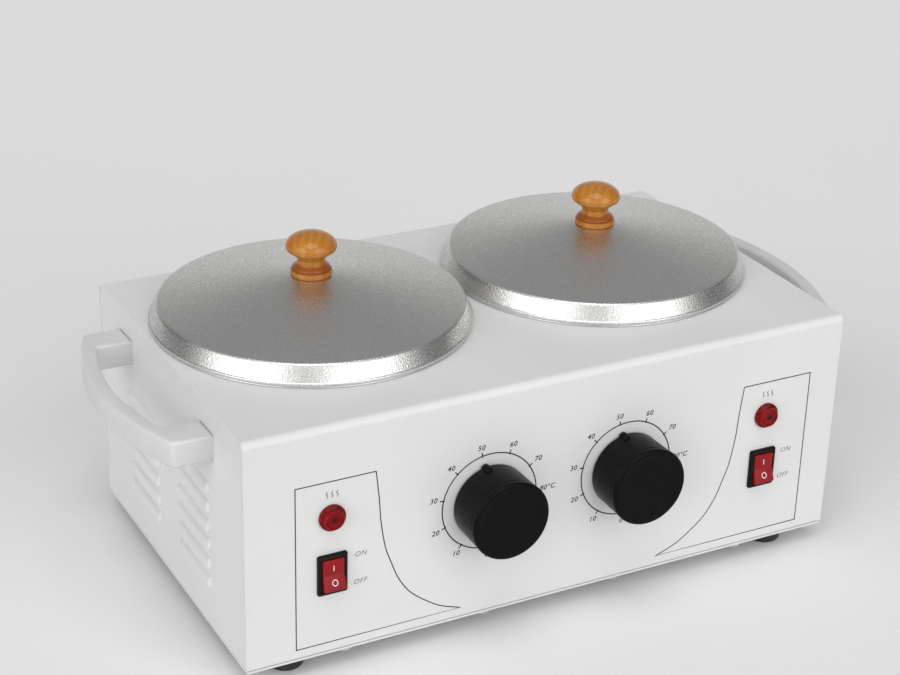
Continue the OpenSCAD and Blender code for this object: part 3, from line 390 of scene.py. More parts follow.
# %% [markdown]
# ### White powder coat
# The steel is sprayed with powder and baked. The coat melts into a semi-gloss skin with a
# very fine orange peel. A slow noise moves its colour and gloss, and a bumpy grain of about
# 1.6 mm gives the peel. Real waves in the mesh would need millions of faces.

# %% White powder coat
def powder_coat():
    coat = Finish("white_powder_coat", (0.72, 0.72, 0.715), 0.38, Specular_IOR_Level=0.4)
    tone = coat.effect(tone_group, "Amount", Size_mm=70)
    coat.link(coat.blend(tone, (0.71, 0.71, 0.705), (0.74, 0.74, 0.735)))
    coat.vary_gloss(tone, 0.34, 0.44)
    coat.bump(coat.effect(grain_group, "Height", Size_mm=1.6, Detail=1), depth_mm=0.02)
    return coat.material


# %% [markdown]
# ### Moulded plastics
# Handles, dials and switches are injection moulded. The mould leaves a fine, even texture.
# Dark plastic shows each speck of dust, so the dials get a thin film of it. One function
# makes them all: they differ only in colour, gloss and texture.

# %% Moulded plastics
DARKER = 0.93


def moulded(name, color, roughness, texture_mm=0.25, dust=0.0, depth_mm=0.01, shine=0.5):
    plastic = Finish(name, color, roughness, IOR=1.5, Specular_IOR_Level=shine)
    tone = plastic.effect(tone_group, "Amount", Size_mm=25)
    plastic.vary_gloss(tone, roughness - 0.04, roughness + 0.05)
    shade = plastic.blend(tone, color, tuple(c * DARKER for c in color))
    if dust:
        film = plastic.effect(dust_group, "Film", Amount=dust)
        shade = plastic.blend(film, shade, (0.35, 0.35, 0.34))
    plastic.link(shade)
    texture = plastic.effect(grain_group, "Height", Size_mm=texture_mm, Detail=2)
    plastic.bump(texture, depth_mm)
    return plastic.material


# %% [markdown]
# ### Aluminium and other metals
# The lids were blasted after spinning: matt, grey, with a sparkle of tiny facets. So
# flecks that are paler and smoother than the rest lie on a bumpy ground. The pots and wells
# keep the rings of deep drawing. Zinc plating looks cloudy, and copper and brass tarnish in
# the same way, so one function makes all three.

# %% Blasted, drawn and plated metal
def blasted_aluminium():
    metal = Finish("blasted_aluminium", (0.75, 0.75, 0.74), 0.3, metallic=1.0)
    fleck = metal.effect(grain_group, "Fleck", Size_mm=0.8, Detail=1)
    metal.link(metal.blend(fleck, (0.68, 0.68, 0.665), (0.98, 0.98, 0.97)))
    metal.vary_gloss(fleck, 0.34, 0.16)
    metal.bump(metal.effect(turning_group, "Height", Pitch_mm=1.4), depth_mm=0.003)
    metal.bump(metal.effect(grain_group, "Height", Size_mm=0.8, Detail=1), depth_mm=0.15)
    return metal.material


def drawn_aluminium():
    metal = Finish("drawn_aluminium", (0.66, 0.67, 0.68), 0.3, metallic=1.0)
    rings = metal.effect(turning_group, "Height", Pitch_mm=0.35)
    metal.link(metal.blend(rings, (0.58, 0.59, 0.6), (0.74, 0.75, 0.76)))
    metal.vary_gloss(metal.effect(tone_group, "Amount", Size_mm=18), 0.24, 0.38)
    metal.bump(rings, depth_mm=0.006)
    return metal.material


def plated(name, color, other, roughness=0.32):
    metal = Finish(name, color, roughness, metallic=1.0)
    tone = metal.effect(tone_group, "Amount", Size_mm=4)
    metal.link(metal.blend(tone, color, other))
    metal.vary_gloss(tone, roughness - 0.08, roughness + 0.1)
    metal.bump(metal.effect(grain_group, "Height", Size_mm=0.3, Detail=2), depth_mm=0.006)
    return metal.material


# %% [markdown]
# ### Varnished wood
# The lid knobs are turned from a light hardwood, stained amber and varnished. The figure is
# a set of growth rings seen from the side: bands along the grain, bent by slow noise, with
# fine dark pores drawn out along the knob's axis. A picture of wood would stretch over the
# cap, while this figure runs through the solid. The band from the groove above the foot ring
# up the waist is painted darker and redder, as painted shade under the cap. A glossy coat
# lies over all of it.

# %% Varnished wood
ALONG_GRAIN = 0.22  # the pattern is this much denser across the grain than along it
# GROOVE_FROM and GROOVE_TO bound the painted shade above the foot ring; GROOVE_SHADE is its strength.
GROOVE_FROM, GROOVE_TO = (2.6 * MM, 3.4 * MM), (4.6 * MM, 7.4 * MM)
GROOVE_SHADE = 0.75


def varnished_wood():
    wood = Finish("varnished_wood", (0.46, 0.19, 0.02), 0.5, Specular_IOR_Level=0.2,
                  Coat_Weight=0.7, Coat_Roughness=0.06)
    tree = wood.tree
    drawn_out = on_piece(tree, "Mapping", Scale=(1, 1, ALONG_GRAIN))
    bands = add_node(tree, "TexWave", Scale=75, Distortion=6.5, Detail=3, Detail_Scale=0.8)
    bands.bands_direction = "X"
    pores = add_node(tree, "TexNoise", Scale=1500, Detail=3)
    for pattern in (bands, pores):
        tree.links.new(drawn_out.outputs[0], pattern.inputs["Vector"])
    figure = wood.blend(bands.outputs["Fac"], (0.51, 0.21, 0.018), (0.45, 0.165, 0.012))
    cloudy = ranged(tree, wood.effect(tone_group, "Amount", Size_mm=14), 0, 0.7)
    figure = wood.blend(cloudy, figure, (0.37, 0.115, 0.012))
    pore = ranged(tree, pores.outputs["Fac"], 0, 0.45, start=0.55, end=0.8)
    figure = wood.blend(pore, figure, (0.2, 0.07, 0.012))
    # Painted shade: darker and redder from the groove above the foot ring up the waist under the cap.
    height = on_piece(tree, "SeparateXYZ").outputs["Z"]
    above = ranged(tree, height, 0, 1, *GROOVE_FROM)
    below = ranged(tree, height, 1, 0, *GROOVE_TO)
    groove_shade = math_node(tree, "MULTIPLY", math_node(tree, "MULTIPLY", above, below), GROOVE_SHADE)
    wood.link(wood.blend(groove_shade, figure, (0.24, 0.045, 0.004)))
    wood.bump(pores.outputs["Fac"], depth_mm=0.02, strength=0.5)
    return wood.material


# %% [markdown]
# ### Lamp lens and neon glass
# The lamps are clear red acrylic: deep red, with a hard gloss. Truly clear nodes would show
# the dark holder behind, so rings of a bright and a dark red, and dark cloudy patches, are
# painted light and shade that stand in for light passing through the depth. The small neon
# bulb behind each lens is real glass.

# %% Lamp lens and neon glass
def red_lens():
    lens = Finish("red_lens", (0.3, 0.002, 0.004), 0.08, IOR=1.49, Specular_IOR_Level=0.16)
    # Painted light and shade: bright and dark red rings, then dark cloudy patches, stand in for light through the
    # clear lens.
    ring_light_and_shade = ranged(lens.tree, lens.effect(turning_group, "Height", Pitch_mm=2.6), 0, 1,
                  start=0.35, end=0.62)
    shade = lens.blend(ring_light_and_shade, (0.42, 0.0025, 0.007), (0.03, 0.0003, 0.0008))
    deep = ranged(lens.tree, lens.effect(tone_group, "Amount", Size_mm=4), 0, 0.7)
    lens.link(lens.blend(deep, shade, (0.035, 0.0004, 0.001)))
    lens.bump(lens.effect(turning_group, "Height", Pitch_mm=0.9), depth_mm=0.04)
    return lens.material


def neon_glass():
    glass = Finish("lamp_glass", (1.0, 0.82, 0.62), 0.05, IOR=1.5, Transmission_Weight=1.0)
    tone = glass.effect(tone_group, "Amount", Size_mm=3)
    glass.link(glass.blend(tone, (1.0, 0.8, 0.58), (1.0, 0.88, 0.72)))
    glass.vary_gloss(tone, 0.03, 0.08)
    return glass.material


# %% [markdown]
# ### Ink, rubber, boards and the earth wire
# Ink is paler where it is thin. The feet are rubber, dusty and dull. Mica and ceramic fibre
# are flakes or fibres pressed into a board, so one function makes both. The earth wire's
# stripes are a wave pattern that runs round it.

# %% Ink, rubber, boards and the earth wire
def printing_ink(name, color):
    ink = Finish(name, color, 0.55, Specular_IOR_Level=0.25)
    breaks = ink.effect(grain_group, "Height", Size_mm=0.5, Detail=3)
    ink.link(ink.blend(breaks, color, tuple(c * 1.4 + 0.01 for c in color)))
    return ink.material


def foot_rubber():
    rubber = Finish("foot_rubber", (0.022, 0.022, 0.022), 0.72)
    film = rubber.effect(dust_group, "Film", Amount=0.3)
    tone = rubber.effect(tone_group, "Amount", Size_mm=8)
    shade = rubber.blend(tone, (0.018, 0.018, 0.018), (0.03, 0.03, 0.029))
    rubber.link(rubber.blend(film, shade, (0.2, 0.2, 0.19)))
    rubber.bump(rubber.effect(grain_group, "Height", Size_mm=0.5, Detail=4), depth_mm=0.04)
    return rubber.material


def pressed_board(name, color, darker, size_mm):
    board = Finish(name, color, 0.7)
    flakes = board.effect(grain_group, "Fleck", Size_mm=size_mm, Detail=5)
    board.link(board.blend(flakes, color, darker))
    relief = board.effect(grain_group, "Height", Size_mm=size_mm, Detail=5)
    board.bump(relief, depth_mm=0.08)
    return board.material


def earth_sleeve():
    sleeve = Finish("earth_sleeve", (0.1, 0.3, 0.03), 0.45)
    stripes = on_piece(sleeve.tree, "TexWave", Scale=90)
    stripes.bands_direction = "DIAGONAL"
    yellow = ranged(sleeve.tree, stripes.outputs["Fac"], 0, 1, start=0.45, end=0.55)
    sleeve.link(sleeve.blend(yellow, (0.07, 0.28, 0.03), (0.75, 0.6, 0.03)))
    return sleeve.material


# %% [markdown]
# ### One finish for each material slot
# The record gives every CAD node a material slot. Sheet metal, screws, wires and all else
# with the right shape in the CAD takes the finish of its slot directly.

# %% Build every finish once
finish = {
    "white_paint": powder_coat(),
    "spun_aluminium": blasted_aluminium(),
    "drawn_aluminium": drawn_aluminium(),
    "zinc_steel": plated("zinc_steel", (0.55, 0.56, 0.58), (0.68, 0.68, 0.66)),
    "copper_tube": plated("copper_tube", (0.62, 0.3, 0.18), (0.45, 0.2, 0.12)),
    "brass": plated("brass", (0.68, 0.5, 0.2), (0.55, 0.38, 0.15)),
    "white_plastic": moulded("white_plastic", (0.66, 0.66, 0.655), 0.4, texture_mm=0.3),
    "black_plastic": moulded("black_plastic", (0.0022, 0.0023, 0.0023), 0.3,
                             texture_mm=0.4, dust=0.01, depth_mm=0.012, shine=0.1),
    "switch_plastic": moulded("switch_plastic", (0.004, 0.0038, 0.0036), 0.35,
                              dust=0.01, depth_mm=0.008, shine=0.16),
    "red_plastic": moulded("red_plastic", (0.28, 0.006, 0.009), 0.3,
                           texture_mm=0.2, depth_mm=0.004, shine=0.22),
    "block_plastic": moulded("block_plastic", (0.68, 0.64, 0.52), 0.45),
    "red_lens": red_lens(),
    "turned_wood": varnished_wood(),
    "black_rubber": foot_rubber(),
    "mica_sheet": pressed_board("mica_sheet", (0.36, 0.25, 0.14), (0.55, 0.44, 0.3), 3),
    "fibre_board": pressed_board("fibre_board", (0.78, 0.76, 0.7), (0.66, 0.63, 0.56), 1.2),
    "bulb_glass": neon_glass(),
    "red_sleeve": moulded("red_sleeve", (0.24, 0.03, 0.02), 0.5),
    "earth_sleeve": earth_sleeve(),
    "ink": printing_ink("printing_ink", (0.006, 0.006, 0.0065)),
    "grey_ink": printing_ink("grey_ink", (0.09, 0.09, 0.093)),
    "white_ink": printing_ink("white_ink", (0.62, 0.6, 0.6)),
}
for entry in frame["record"]["subparts"]:
    materials = cad_nodes[entry["node"]].data.materials
    materials.clear()
    materials.append(finish[entry["material_slot"]])

# %% [markdown]
# ## Lids
# A lid is spun from one disc of aluminium: a shallow cone, a slanting skirt and a rolled
# rim. A plain cone would have no wall and no rim, so the whole outline, inside and outside,
# is turned. 256 steps keep the highlight on the skirt even.

# %% Lids
LID_RIM_R, LID_EDGE_R, LID_EDGE_Z = 80.0, 76.0, 10.0
LID_TOP_Z, LID_FLAT_R, LID_WALL = 22.4, 11.2, 1.0
LID_SCREW_R = 2.2


def lid_outline():
    inside = LID_TOP_Z - LID_WALL
    return rounded([
        (0, inside), (LID_SCREW_R, inside), (LID_FLAT_R, inside, 4),
        (LID_EDGE_R - 1.4, LID_EDGE_Z - LID_WALL, 1.6),
        (LID_RIM_R - 1.6, 1.7, 0.3), (LID_RIM_R - 1.9, 0.9, 0.4), (LID_RIM_R - 1.5, 0, 0.5),
        (LID_RIM_R, 0, 0.75), (LID_RIM_R, 1.7, 0.7),
        (LID_RIM_R - 0.6, 2.1, 0.4), (LID_EDGE_R, LID_EDGE_Z, 2.4),
        (LID_FLAT_R, LID_TOP_Z, 4), (0, LID_TOP_Z)])


for side in SIDES:
    node = f"lid_shell_{side}"
    make(f"lid_{side}", turned(lid_outline(), 256), f"lid_{side}", "spun_aluminium",
         standing(node), node)

# %% [markdown]
# ## Wooden knobs
# Each knob is turned: a foot ring with a groove above it, a second thin ring, a waist, and
# a flattened mushroom cap, whose dome is part of an ellipse. One outline holds them all, as
# the turner's gauge does. The two knobs are turned to different sides, so that they don't
# show the same grain.

# %% Wooden knobs
KNOB_CAP_R, KNOB_CAP_Z, KNOB_H = 12.7, 14.9, 22.0
KNOB_TURN = {"left": 0.9 - 1.3, "right": 0.9 + 1.3}


def knob_outline():
    stem = rounded([
        (0, 0), (9.7, 0, 0.3), (10.2, 0.8, 0.5), (10.2, 3.1, 0.5), (9.2, 3.3, 0.1),
        (9.6, 4.3, 0.7), (8.6, 5.1, 0.5), (7.1, 6.2, 1.2), (6.7, 8.4, 1.6), (8.4, 10.4, 3.0),
        (KNOB_CAP_R - 0.5, KNOB_CAP_Z - 1.6, 1.6), (KNOB_CAP_R, KNOB_CAP_Z)])
    dome = arc(0, KNOB_CAP_Z, KNOB_CAP_R, KNOB_H - KNOB_CAP_Z, 0, 90, 20)
    return stem[:-1] + dome[:-1] + [(0, KNOB_H)]


for side, angle in KNOB_TURN.items():
    node = f"lid_knob_{side}"
    make(f"wooden_knob_{side}", turned(knob_outline(), 128), f"lid_{side}", "turned_wood",
         standing(node) @ Matrix.Rotation(angle, 4, "Z"), node)

# %% [markdown]
# ## Pots
# A pot is deep drawn, with a step in its rim that centres the lid. Its corners are round
# because a punch can't draw a sharp one. It is turned like the lid, wall and all, because
# one looks into it when the lid is off.

# %% Pots
POT_R, POT_WALL, POT_FLOOR, POT_CORNER = 64.5, 1.2, -61.2, 8.0
RIM_R, STEP_R, STEP_Z = 79.5, 76.0, 3.0


def pot_outline():
    out, under = POT_R + POT_WALL, STEP_Z - POT_WALL
    return rounded([
        (0, POT_FLOOR), (out, POT_FLOOR, POT_CORNER), (out, under, 0.4),
        (STEP_R - 1.6, under, 0.5), (STEP_R - 1.6, 0, 0.6), (RIM_R, 0, 0.4),
        (RIM_R, 1, 0.4), (STEP_R, 1, 0.3), (STEP_R, STEP_Z, 1.1), (POT_R, STEP_Z, 1.2),
        (POT_R, POT_FLOOR + POT_WALL, POT_CORNER - POT_WALL), (0, POT_FLOOR + POT_WALL)])


for side in SIDES:
    node = f"wax_pot_{side}"
    make(f"pot_{side}", turned(pot_outline(), 224), f"pot_{side}", "drawn_aluminium",
         upright(middle(node), top_z), node)

# %% [markdown]
# ## Dials
# A dial is a hollow moulding: a slightly flared drum, a fine step behind its rounded front
# edge, and a small nub at its base that points at the scale. A shallow line is moulded into
# the face. Inside, a boss grips the flat of the shaft. The nub is cut off where the hollow
# begins, because it would meet the screw heads there as the dial turns.

# %% Dials
DIAL_R, DIAL_OUT, DIAL_GAP, DIAL_STEP = 20.1, 22.2, 0.8, 18.6
DIAL_WALL, DIAL_SKIN, BOSS_R, SHAFT_R, SHAFT_END = 1.7, 3.0, 5.6, 3.02, 17.5
BASE_R = DIAL_R - 0.5
NUB_R, NUB_LENGTH, NUB_AT = 2.3, 6.0, DIAL_R - 1.0
REST_TURN = Matrix.Rotation(math.radians(100.5), 4, "Z")


def dial_outline():
    ceiling = DIAL_OUT - DIAL_SKIN
    return rounded([
        (0, SHAFT_END), (SHAFT_R, SHAFT_END), (SHAFT_R, 2.6), (BOSS_R, 2.6, 0.4),
        (BOSS_R, ceiling, 0.5), (BASE_R - DIAL_WALL, ceiling, 0.6),
        (BASE_R - DIAL_WALL, DIAL_GAP, 0.2), (BASE_R, DIAL_GAP, 0.4),
        (DIAL_R - 0.2, DIAL_STEP - 0.5, 0.1), (DIAL_R - 0.65, DIAL_STEP - 0.1, 0.1),
        (DIAL_R - 0.65, DIAL_STEP + 0.1, 0.1), (DIAL_R, DIAL_STEP + 0.5, 0.2),
        (DIAL_R, DIAL_OUT, 1.3), (DIAL_R - 3, DIAL_OUT, 0.5),
        (DIAL_R - 3.4, DIAL_OUT - 0.12, 0.5), (0, DIAL_OUT - 0.12)])


def pointer_nub():
    """A short round-topped bar on the drum, at the dial's own zero angle."""
    foot = [(0, DIAL_GAP), (NUB_R - 0.2, DIAL_GAP), (NUB_R, DIAL_GAP + 0.2)]
    dome = arc(0, NUB_LENGTH - NUB_R, NUB_R, NUB_R, 0, 90, 8)
    nub = turned(foot + dome[:-1] + [(0, NUB_LENGTH)], 32)
    nub.transform(Matrix.Translation((NUB_AT * MM, 0, 0)))
    hollow = (BASE_R - DIAL_WALL + 0.4) * MM
    cut = bmesh.ops.bisect_plane(
        nub, geom=[*nub.verts, *nub.edges, *nub.faces],
        plane_co=(hollow, 0, 0), plane_no=(-1, 0, 0), clear_outer=True)
    edges = [e for e in cut["geom_cut"] if isinstance(e, bmesh.types.BMEdge)]
    bmesh.ops.contextual_create(nub, geom=edges)
    bmesh.ops.recalc_face_normals(nub, faces=nub.faces)
    return nub


def face_line():
    """A short raised hair line near the edge of the face."""
    return skinned([loop_of(3.6, 0.3, 0.1, DIAL_OUT - depth, 3) for depth in (0.2, 0.02)])


for side in SIDES:
    pin = pin_of[f"dial_{side}"]
    whole = joined(
        (turned(dial_outline(), 192), Matrix()),
        (pointer_nub(), REST_TURN),
        (face_line(), Matrix.Translation((14.2 * MM, 0, 0))))
    make(f"dial_{side}", whole, f"dial_{side}", "black_plastic", on_front(pin.x, pin.z),
         f"dial_knob_{side}")

# %% [markdown]
# ## Handles
# A handle is one thick moulding: a bow between two legs, with generous corners and a soft
# edge all round. A Bevel modifier would crowd where the short corner arcs meet. So the
# soft edge comes from loops of the plan that step in along a quarter circle.

# %% Handles
HANDLE_H, HANDLE_HALF, HANDLE_OUT, HANDLE_END = 13.5, 63.0, 33.5, 19.5
BOW_T, LEG_W, EDGE_R, EDGE_STEPS = 7.8, 17.0, 1.7, 5
HANDLE_CREASE = 50
MIRROR_X = Matrix.Scale(-1, 4, (1, 0, 0))


def inset(outline, distance):
    """Moves each point of a closed outline inwards, along the bisector of its corner."""
    moved = []
    for i, p in enumerate(outline):
        back, ahead = p - outline[i - 1], outline[(i + 1) % len(outline)] - p
        normal = back.normalized() + ahead.normalized()
        normal = Vector((-normal.y, normal.x)).normalized()
        stretch = max(0.5, normal.dot(Vector((-ahead.y, ahead.x)).normalized()))
        moved.append(p + normal * distance / stretch)
    return moved


def handle_plan():
    """Anticlockwise, with x out of the end panel and y along it."""
    rise = HANDLE_OUT - HANDLE_END
    radius = (HANDLE_HALF ** 2 + rise ** 2) / (2 * rise)
    centre = HANDLE_OUT - radius
    inner = radius - BOW_T
    leg = HANDLE_HALF - LEG_W
    outer_half = math.degrees(math.asin((HANDLE_HALF - 3.5) / radius))
    inner_half = math.degrees(math.asin((leg - 2.5) / inner))
    bow = arc(centre, 0, radius, radius, -outer_half, outer_half, 40)
    hollow = arc(centre, 0, inner, inner, inner_half, -inner_half, 32)
    inner_end = centre + math.sqrt(inner ** 2 - leg ** 2)
    return rounded([
        (0, -HANDLE_HALF), (HANDLE_END, -HANDLE_HALF, 3.2), *bow,
        (HANDLE_END, HANDLE_HALF, 3.2), (0, HANDLE_HALF), (0, leg),
        (inner_end, leg, 2.2), *hollow, (inner_end, -leg, 2.2), (0, -leg)], 6)


def handle_body():
    plan = handle_plan()
    loops = []
    for end in (-1, 1):
        for k in range(EDGE_STEPS + 1):
            t = math.radians(90 * (k if end < 0 else EDGE_STEPS - k) / EDGE_STEPS)
            z = end * (HANDLE_H / 2 - EDGE_R * (1 - math.cos(t)))
            edge = inset(plan, EDGE_R * (1 - math.sin(t)))
            loops.append([(max(p.x, 0), p.y, z) for p in edge])
    return skinned(loops)


for side, sign in SIDES.items():
    node = f"handle_{side}"
    low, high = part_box(node)
    centre = middle(node)
    body = handle_body()
    if sign < 0:
        bmesh.ops.transform(body, matrix=MIRROR_X, verts=body.verts)
        bmesh.ops.reverse_faces(body, faces=body.faces)
    panel_x = low.x if sign > 0 else high.x
    make(f"handle_{side}_moulding", body, "housing", "white_plastic",
         Matrix.Translation((panel_x, centre.y, centre.z)), node, crease=HANDLE_CREASE)

# %% [markdown]
# ## Switches
# A rocker switch snaps into its cut-out from the front. Its bezel has a chamfered edge and
# a well for the rocker, so it is one skin that goes over the edge and down into the well.
# The rocker is a single moulding with two faces, drawn from the side and stretched to its
# width. The pressed face is flush with the bezel.

# %% Switch housings
BEZEL_W, BEZEL_H, BEZEL_T = 15.0, 21.0, 2.2
CAN_W, CAN_H, CAN_BACK, CAN_FRONT = 12.8, 19.0, -15.0, -6.4
ROCKER_W, ROCKER_R, ROCKER_TRAVEL, ROCKER_OUT = 10.8, 8.3, 22.0, 2.0
ROCKER_BEND = ROCKER_OUT * math.tan(math.radians(ROCKER_TRAVEL / 2))
WELL_W, WELL_H, WELL_FLOOR = ROCKER_W + 0.4, 2 * (ROCKER_R + 0.3), -5.9


def switch_bezel():
    narrower = ((0, 0.9, 0), (0, 0.9, BEZEL_T - 1.0), (0.4, 0.8, BEZEL_T - 0.55),
                (1.5, 0.7, BEZEL_T - 0.06), (1.9, 0.6, BEZEL_T))
    rim = [loop_of(BEZEL_W - less, BEZEL_H - less, r, z) for less, r, z in narrower]
    return skinned([
        *rim, loop_of(WELL_W + 0.5, WELL_H + 0.5, 0.6, BEZEL_T),
        *[loop_of(WELL_W, WELL_H, 0.5, z) for z in (BEZEL_T - 0.3, WELL_FLOOR)],
        loop_of(CAN_W - 3, CAN_H - 3, 0.5, WELL_FLOOR - 0.4)])


def switch_can():
    """The closed part of the housing, behind the panel."""
    return skinned([
        loop_of(CAN_W - 0.8, CAN_H - 0.8, 0.4, CAN_BACK),
        loop_of(CAN_W, CAN_H, 0.6, CAN_BACK + 0.6), loop_of(CAN_W, CAN_H, 0.6, CAN_FRONT)])


# %% Rockers
EDGE_IN, EDGE_SOFT = 0.45, 0.13


def rocker_profile():
    """The side view in (height, out) about the pin.

    Its two faces meet on the line that halves the travel and end at the same reach, so it
    looks the same in both positions, turned over."""
    lean = math.radians(ROCKER_TRAVEL)
    upper = math.sqrt(ROCKER_R ** 2 - ROCKER_OUT ** 2)
    face = upper - ROCKER_BEND
    lower = (ROCKER_BEND - face * math.cos(lean), ROCKER_OUT + face * math.sin(lean))
    upper_turn = math.degrees(math.atan2(ROCKER_OUT, upper))
    lower_turn = math.degrees(math.atan2(lower[1], lower[0]))
    return rounded([
        (*lower, 0.5), (ROCKER_BEND, ROCKER_OUT, 1.5), (upper, ROCKER_OUT, 0.4),
        *arc(0, 0, ROCKER_R, ROCKER_R, upper_turn, -21, 6)[1:],
        *arc(0, 0, ROCKER_R, ROCKER_R, 201, lower_turn, 8)[:-1]], 4)


def rocker_body():
    """The profile, stretched to the width, with soft edges at both ends."""
    half, core, profile = ROCKER_W / 2, Vector((0, 0.5)), rocker_profile()
    ends = [(half, EDGE_IN), (half - EDGE_SOFT, EDGE_SOFT), (half - EDGE_IN, 0)]
    loops = []
    for x, step_in in [(-x, step_in) for x, step_in in ends] + ends[::-1]:
        stepped = [p + (core - p).normalized() * step_in for p in profile]
        loops.append([(x, p.x, p.y) for p in stepped])
    return skinned(loops)


for side in SIDES:
    centre, pin = middle(f"switch_{side}"), pin_of[f"rocker_{side}"]
    whole = joined((switch_bezel(), Matrix()), (switch_can(), Matrix()))
    make(f"switch_bezel_{side}", whole, "housing", "switch_plastic",
         on_front(centre.x, centre.z), f"switch_{side}")
    make(f"rocker_{side}", rocker_body(), f"rocker_{side}", "red_plastic",
         on_front(pin.x, pin.z, pin.y), f"switch_rocker_{side}")

# %% [markdown]
# ## Lamps
# A lamp lens is a stepped red button: a flange against the panel, a raised disc with a thin
# rim, and a stem that plugs into the holder behind. All of it is round, so one turned
# outline makes it.

# %% Lamps
LAMP_R, LENS_OUT, STEM_R, STEM_BACK = 6.65, 4.2, 4.0, -5.0


def lens_outline():
    return rounded([
        (0, STEM_BACK), (STEM_R, STEM_BACK), (STEM_R, 0), (LAMP_R, 0, 0.2),
        (LAMP_R, 1.7, 0.7), (LAMP_R - 1.5, 2.2, 0.3), (LAMP_R - 1.8, LENS_OUT, 0.5),
        (LAMP_R - 2.4, LENS_OUT, 0.3), (LAMP_R - 2.9, LENS_OUT - 0.5, 0.2),
        (0, LENS_OUT - 0.5)])


for side in SIDES:
    node = f"lamp_lens_{side}"
    centre = middle(node)
    make(f"lamp_{side}", turned(lens_outline(), 96), "housing", "red_lens",
         on_front(centre.x, centre.z), node)

# %% [markdown]
# ## Feet
# Each foot is a rubber frustum, rounded where it stands. The turned outline also goes up
# into the pocket for the screw, which a plain cone could not show.

# %% Feet
FOOT_H, FOOT_TOP_R, FOOT_LOW_R = 9.0, 10.0, 8.5
POCKET_R, POCKET_TOP, SCREW_R = 4.3, 5.0, 2.1


def foot_outline():
    return rounded([
        (SCREW_R, FOOT_H), (SCREW_R, POCKET_TOP), (POCKET_R, POCKET_TOP, 0.3),
        (POCKET_R, 0, 0.6), (FOOT_LOW_R, 0, 1.3), (FOOT_TOP_R - 0.3, FOOT_H - 1.6, 0.5),
        (FOOT_TOP_R, FOOT_H - 1.3, 0.3), (FOOT_TOP_R, FOOT_H, 0.3)])


for corner in ("front_left", "front_right", "rear_left", "rear_right"):
    node = f"foot_{corner}"
    make(f"rubber_{node}", turned(foot_outline(), 72), "housing", "black_rubber",
         upright(middle(node), 0), node)

# %% [markdown]
# ## Printing on the front panel
# The scale, the switch outlines and the words ON and OFF are screen printed. On the
# photographed unit the outlines sit almost 4 mm too far right, and so do these. Ink is a
# layer about 0.04 mm thick. It could be a picture on the paint, but a thin ribbon for each
# stroke keeps crisp edges at any distance.

# %% Ribbons and letters
INK_T, INK_LIFT = 0.04, 0.005
CAPITAL = 0.7  # a capital's height as a share of the text size
SLANT, LETTER_SPACING = 0.22, 1.12


def ribbon(points, width, closed=False):
    """A flat stroke of ink along points of (x, z) on the panel."""
    bm = bmesh.new()
    points = [Vector(p) for p in points]
    rows = []
    for i, p in enumerate(points):
        before = points[i - 1] if i or closed else p
        after = points[(i + 1) % len(points)] if i < len(points) - 1 or closed else p
        back, ahead = p - before, after - p
        run = (back.normalized() + ahead.normalized()).normalized()
        across = Vector((-run.y, run.x))
        lean = ahead if ahead.length else back
        stretch = max(0.4, across.dot(Vector((-lean.y, lean.x)).normalized()))
        across *= width / 2 / stretch
        rows.append([bm.verts.new((q.x * MM, q.y * MM, z * MM))
                     for q, z in ((p - across, INK_LIFT), (p + across, INK_LIFT),
                                  (p + across, INK_T), (p - across, INK_T))])
    pairs = list(zip(rows, rows[1:])) + ([(rows[-1], rows[0])] if closed else [])
    for a, b in pairs:
        for k in range(4):
            bm.faces.new((a[k], a[(k + 1) % 4], b[(k + 1) % 4], b[k]))
    if not closed:
        bm.faces.new(rows[0])
        bm.faces.new(rows[-1])
    bmesh.ops.recalc_face_normals(bm, faces=bm.faces)
    return bm


def lettering(text, height, x, z, weight):
    """Slanted figures or capitals centred on (x, z); weight thickens the strokes."""
    curve = bpy.data.curves.new("lettering", "FONT")
    curve.body = text
    curve.size = height / CAPITAL * MM
    curve.shear, curve.space_character = SLANT, LETTER_SPACING
    curve.offset = weight * height * MM
    curve.extrude = INK_T / 2 * MM
    curve.resolution_u = 4
    curve.align_x, curve.align_y = "CENTER", "CENTER"
    letters = bpy.data.objects.new("lettering", curve)
    bpy.context.scene.collection.objects.link(letters)
    bpy.context.view_layer.update()
    mesh = bpy.data.meshes.new_from_object(letters)
    bm = bmesh.new()
    bm.from_mesh(mesh)
    bpy.data.objects.remove(letters)
    bpy.data.curves.remove(curve)
    bpy.data.meshes.remove(mesh)
    bm.transform(Matrix.Translation((x * MM, z * MM, (INK_T / 2 + INK_LIFT) * MM)))
    return bm


# %% Scales round the dials
SCALE_R, SCALE_LINE, TICK_IN, TICK_OUT = 25.2, 0.62, 0.6, 1.9
FIGURE_R, FIGURE_H, FIGURE_WEIGHT = 29.4, 2.6, 0.018
SCALE_START, SCALE_STEP, LAST_TICK = 268.2, 33.55, 8


def scale_marks(x, z):
    """The ring from 0 to 80, its ticks and its figures, about (x, z)."""
    end = SCALE_START - LAST_TICK * SCALE_STEP
    marks = [ribbon(arc(x, z, SCALE_R, SCALE_R, SCALE_START, end, 96), SCALE_LINE)]
    figures = []
    here = Vector((x, z))
    for k in range(LAST_TICK + 1):
        a = math.radians(SCALE_START - k * SCALE_STEP)
        out = Vector((math.cos(a), math.sin(a)))
        tick = [here + out * (SCALE_R - TICK_IN), here + out * (SCALE_R + TICK_OUT)]
        marks.append(ribbon(tick, SCALE_LINE))
        text, half_width = ("80°C", 2.0) if k == LAST_TICK else (str(10 * k), 1.4)
        at = here + out * (FIGURE_R + abs(out.x) * half_width)
        figures.append(lettering(text, FIGURE_H, at.x, at.y, FIGURE_WEIGHT))
    return marks + figures


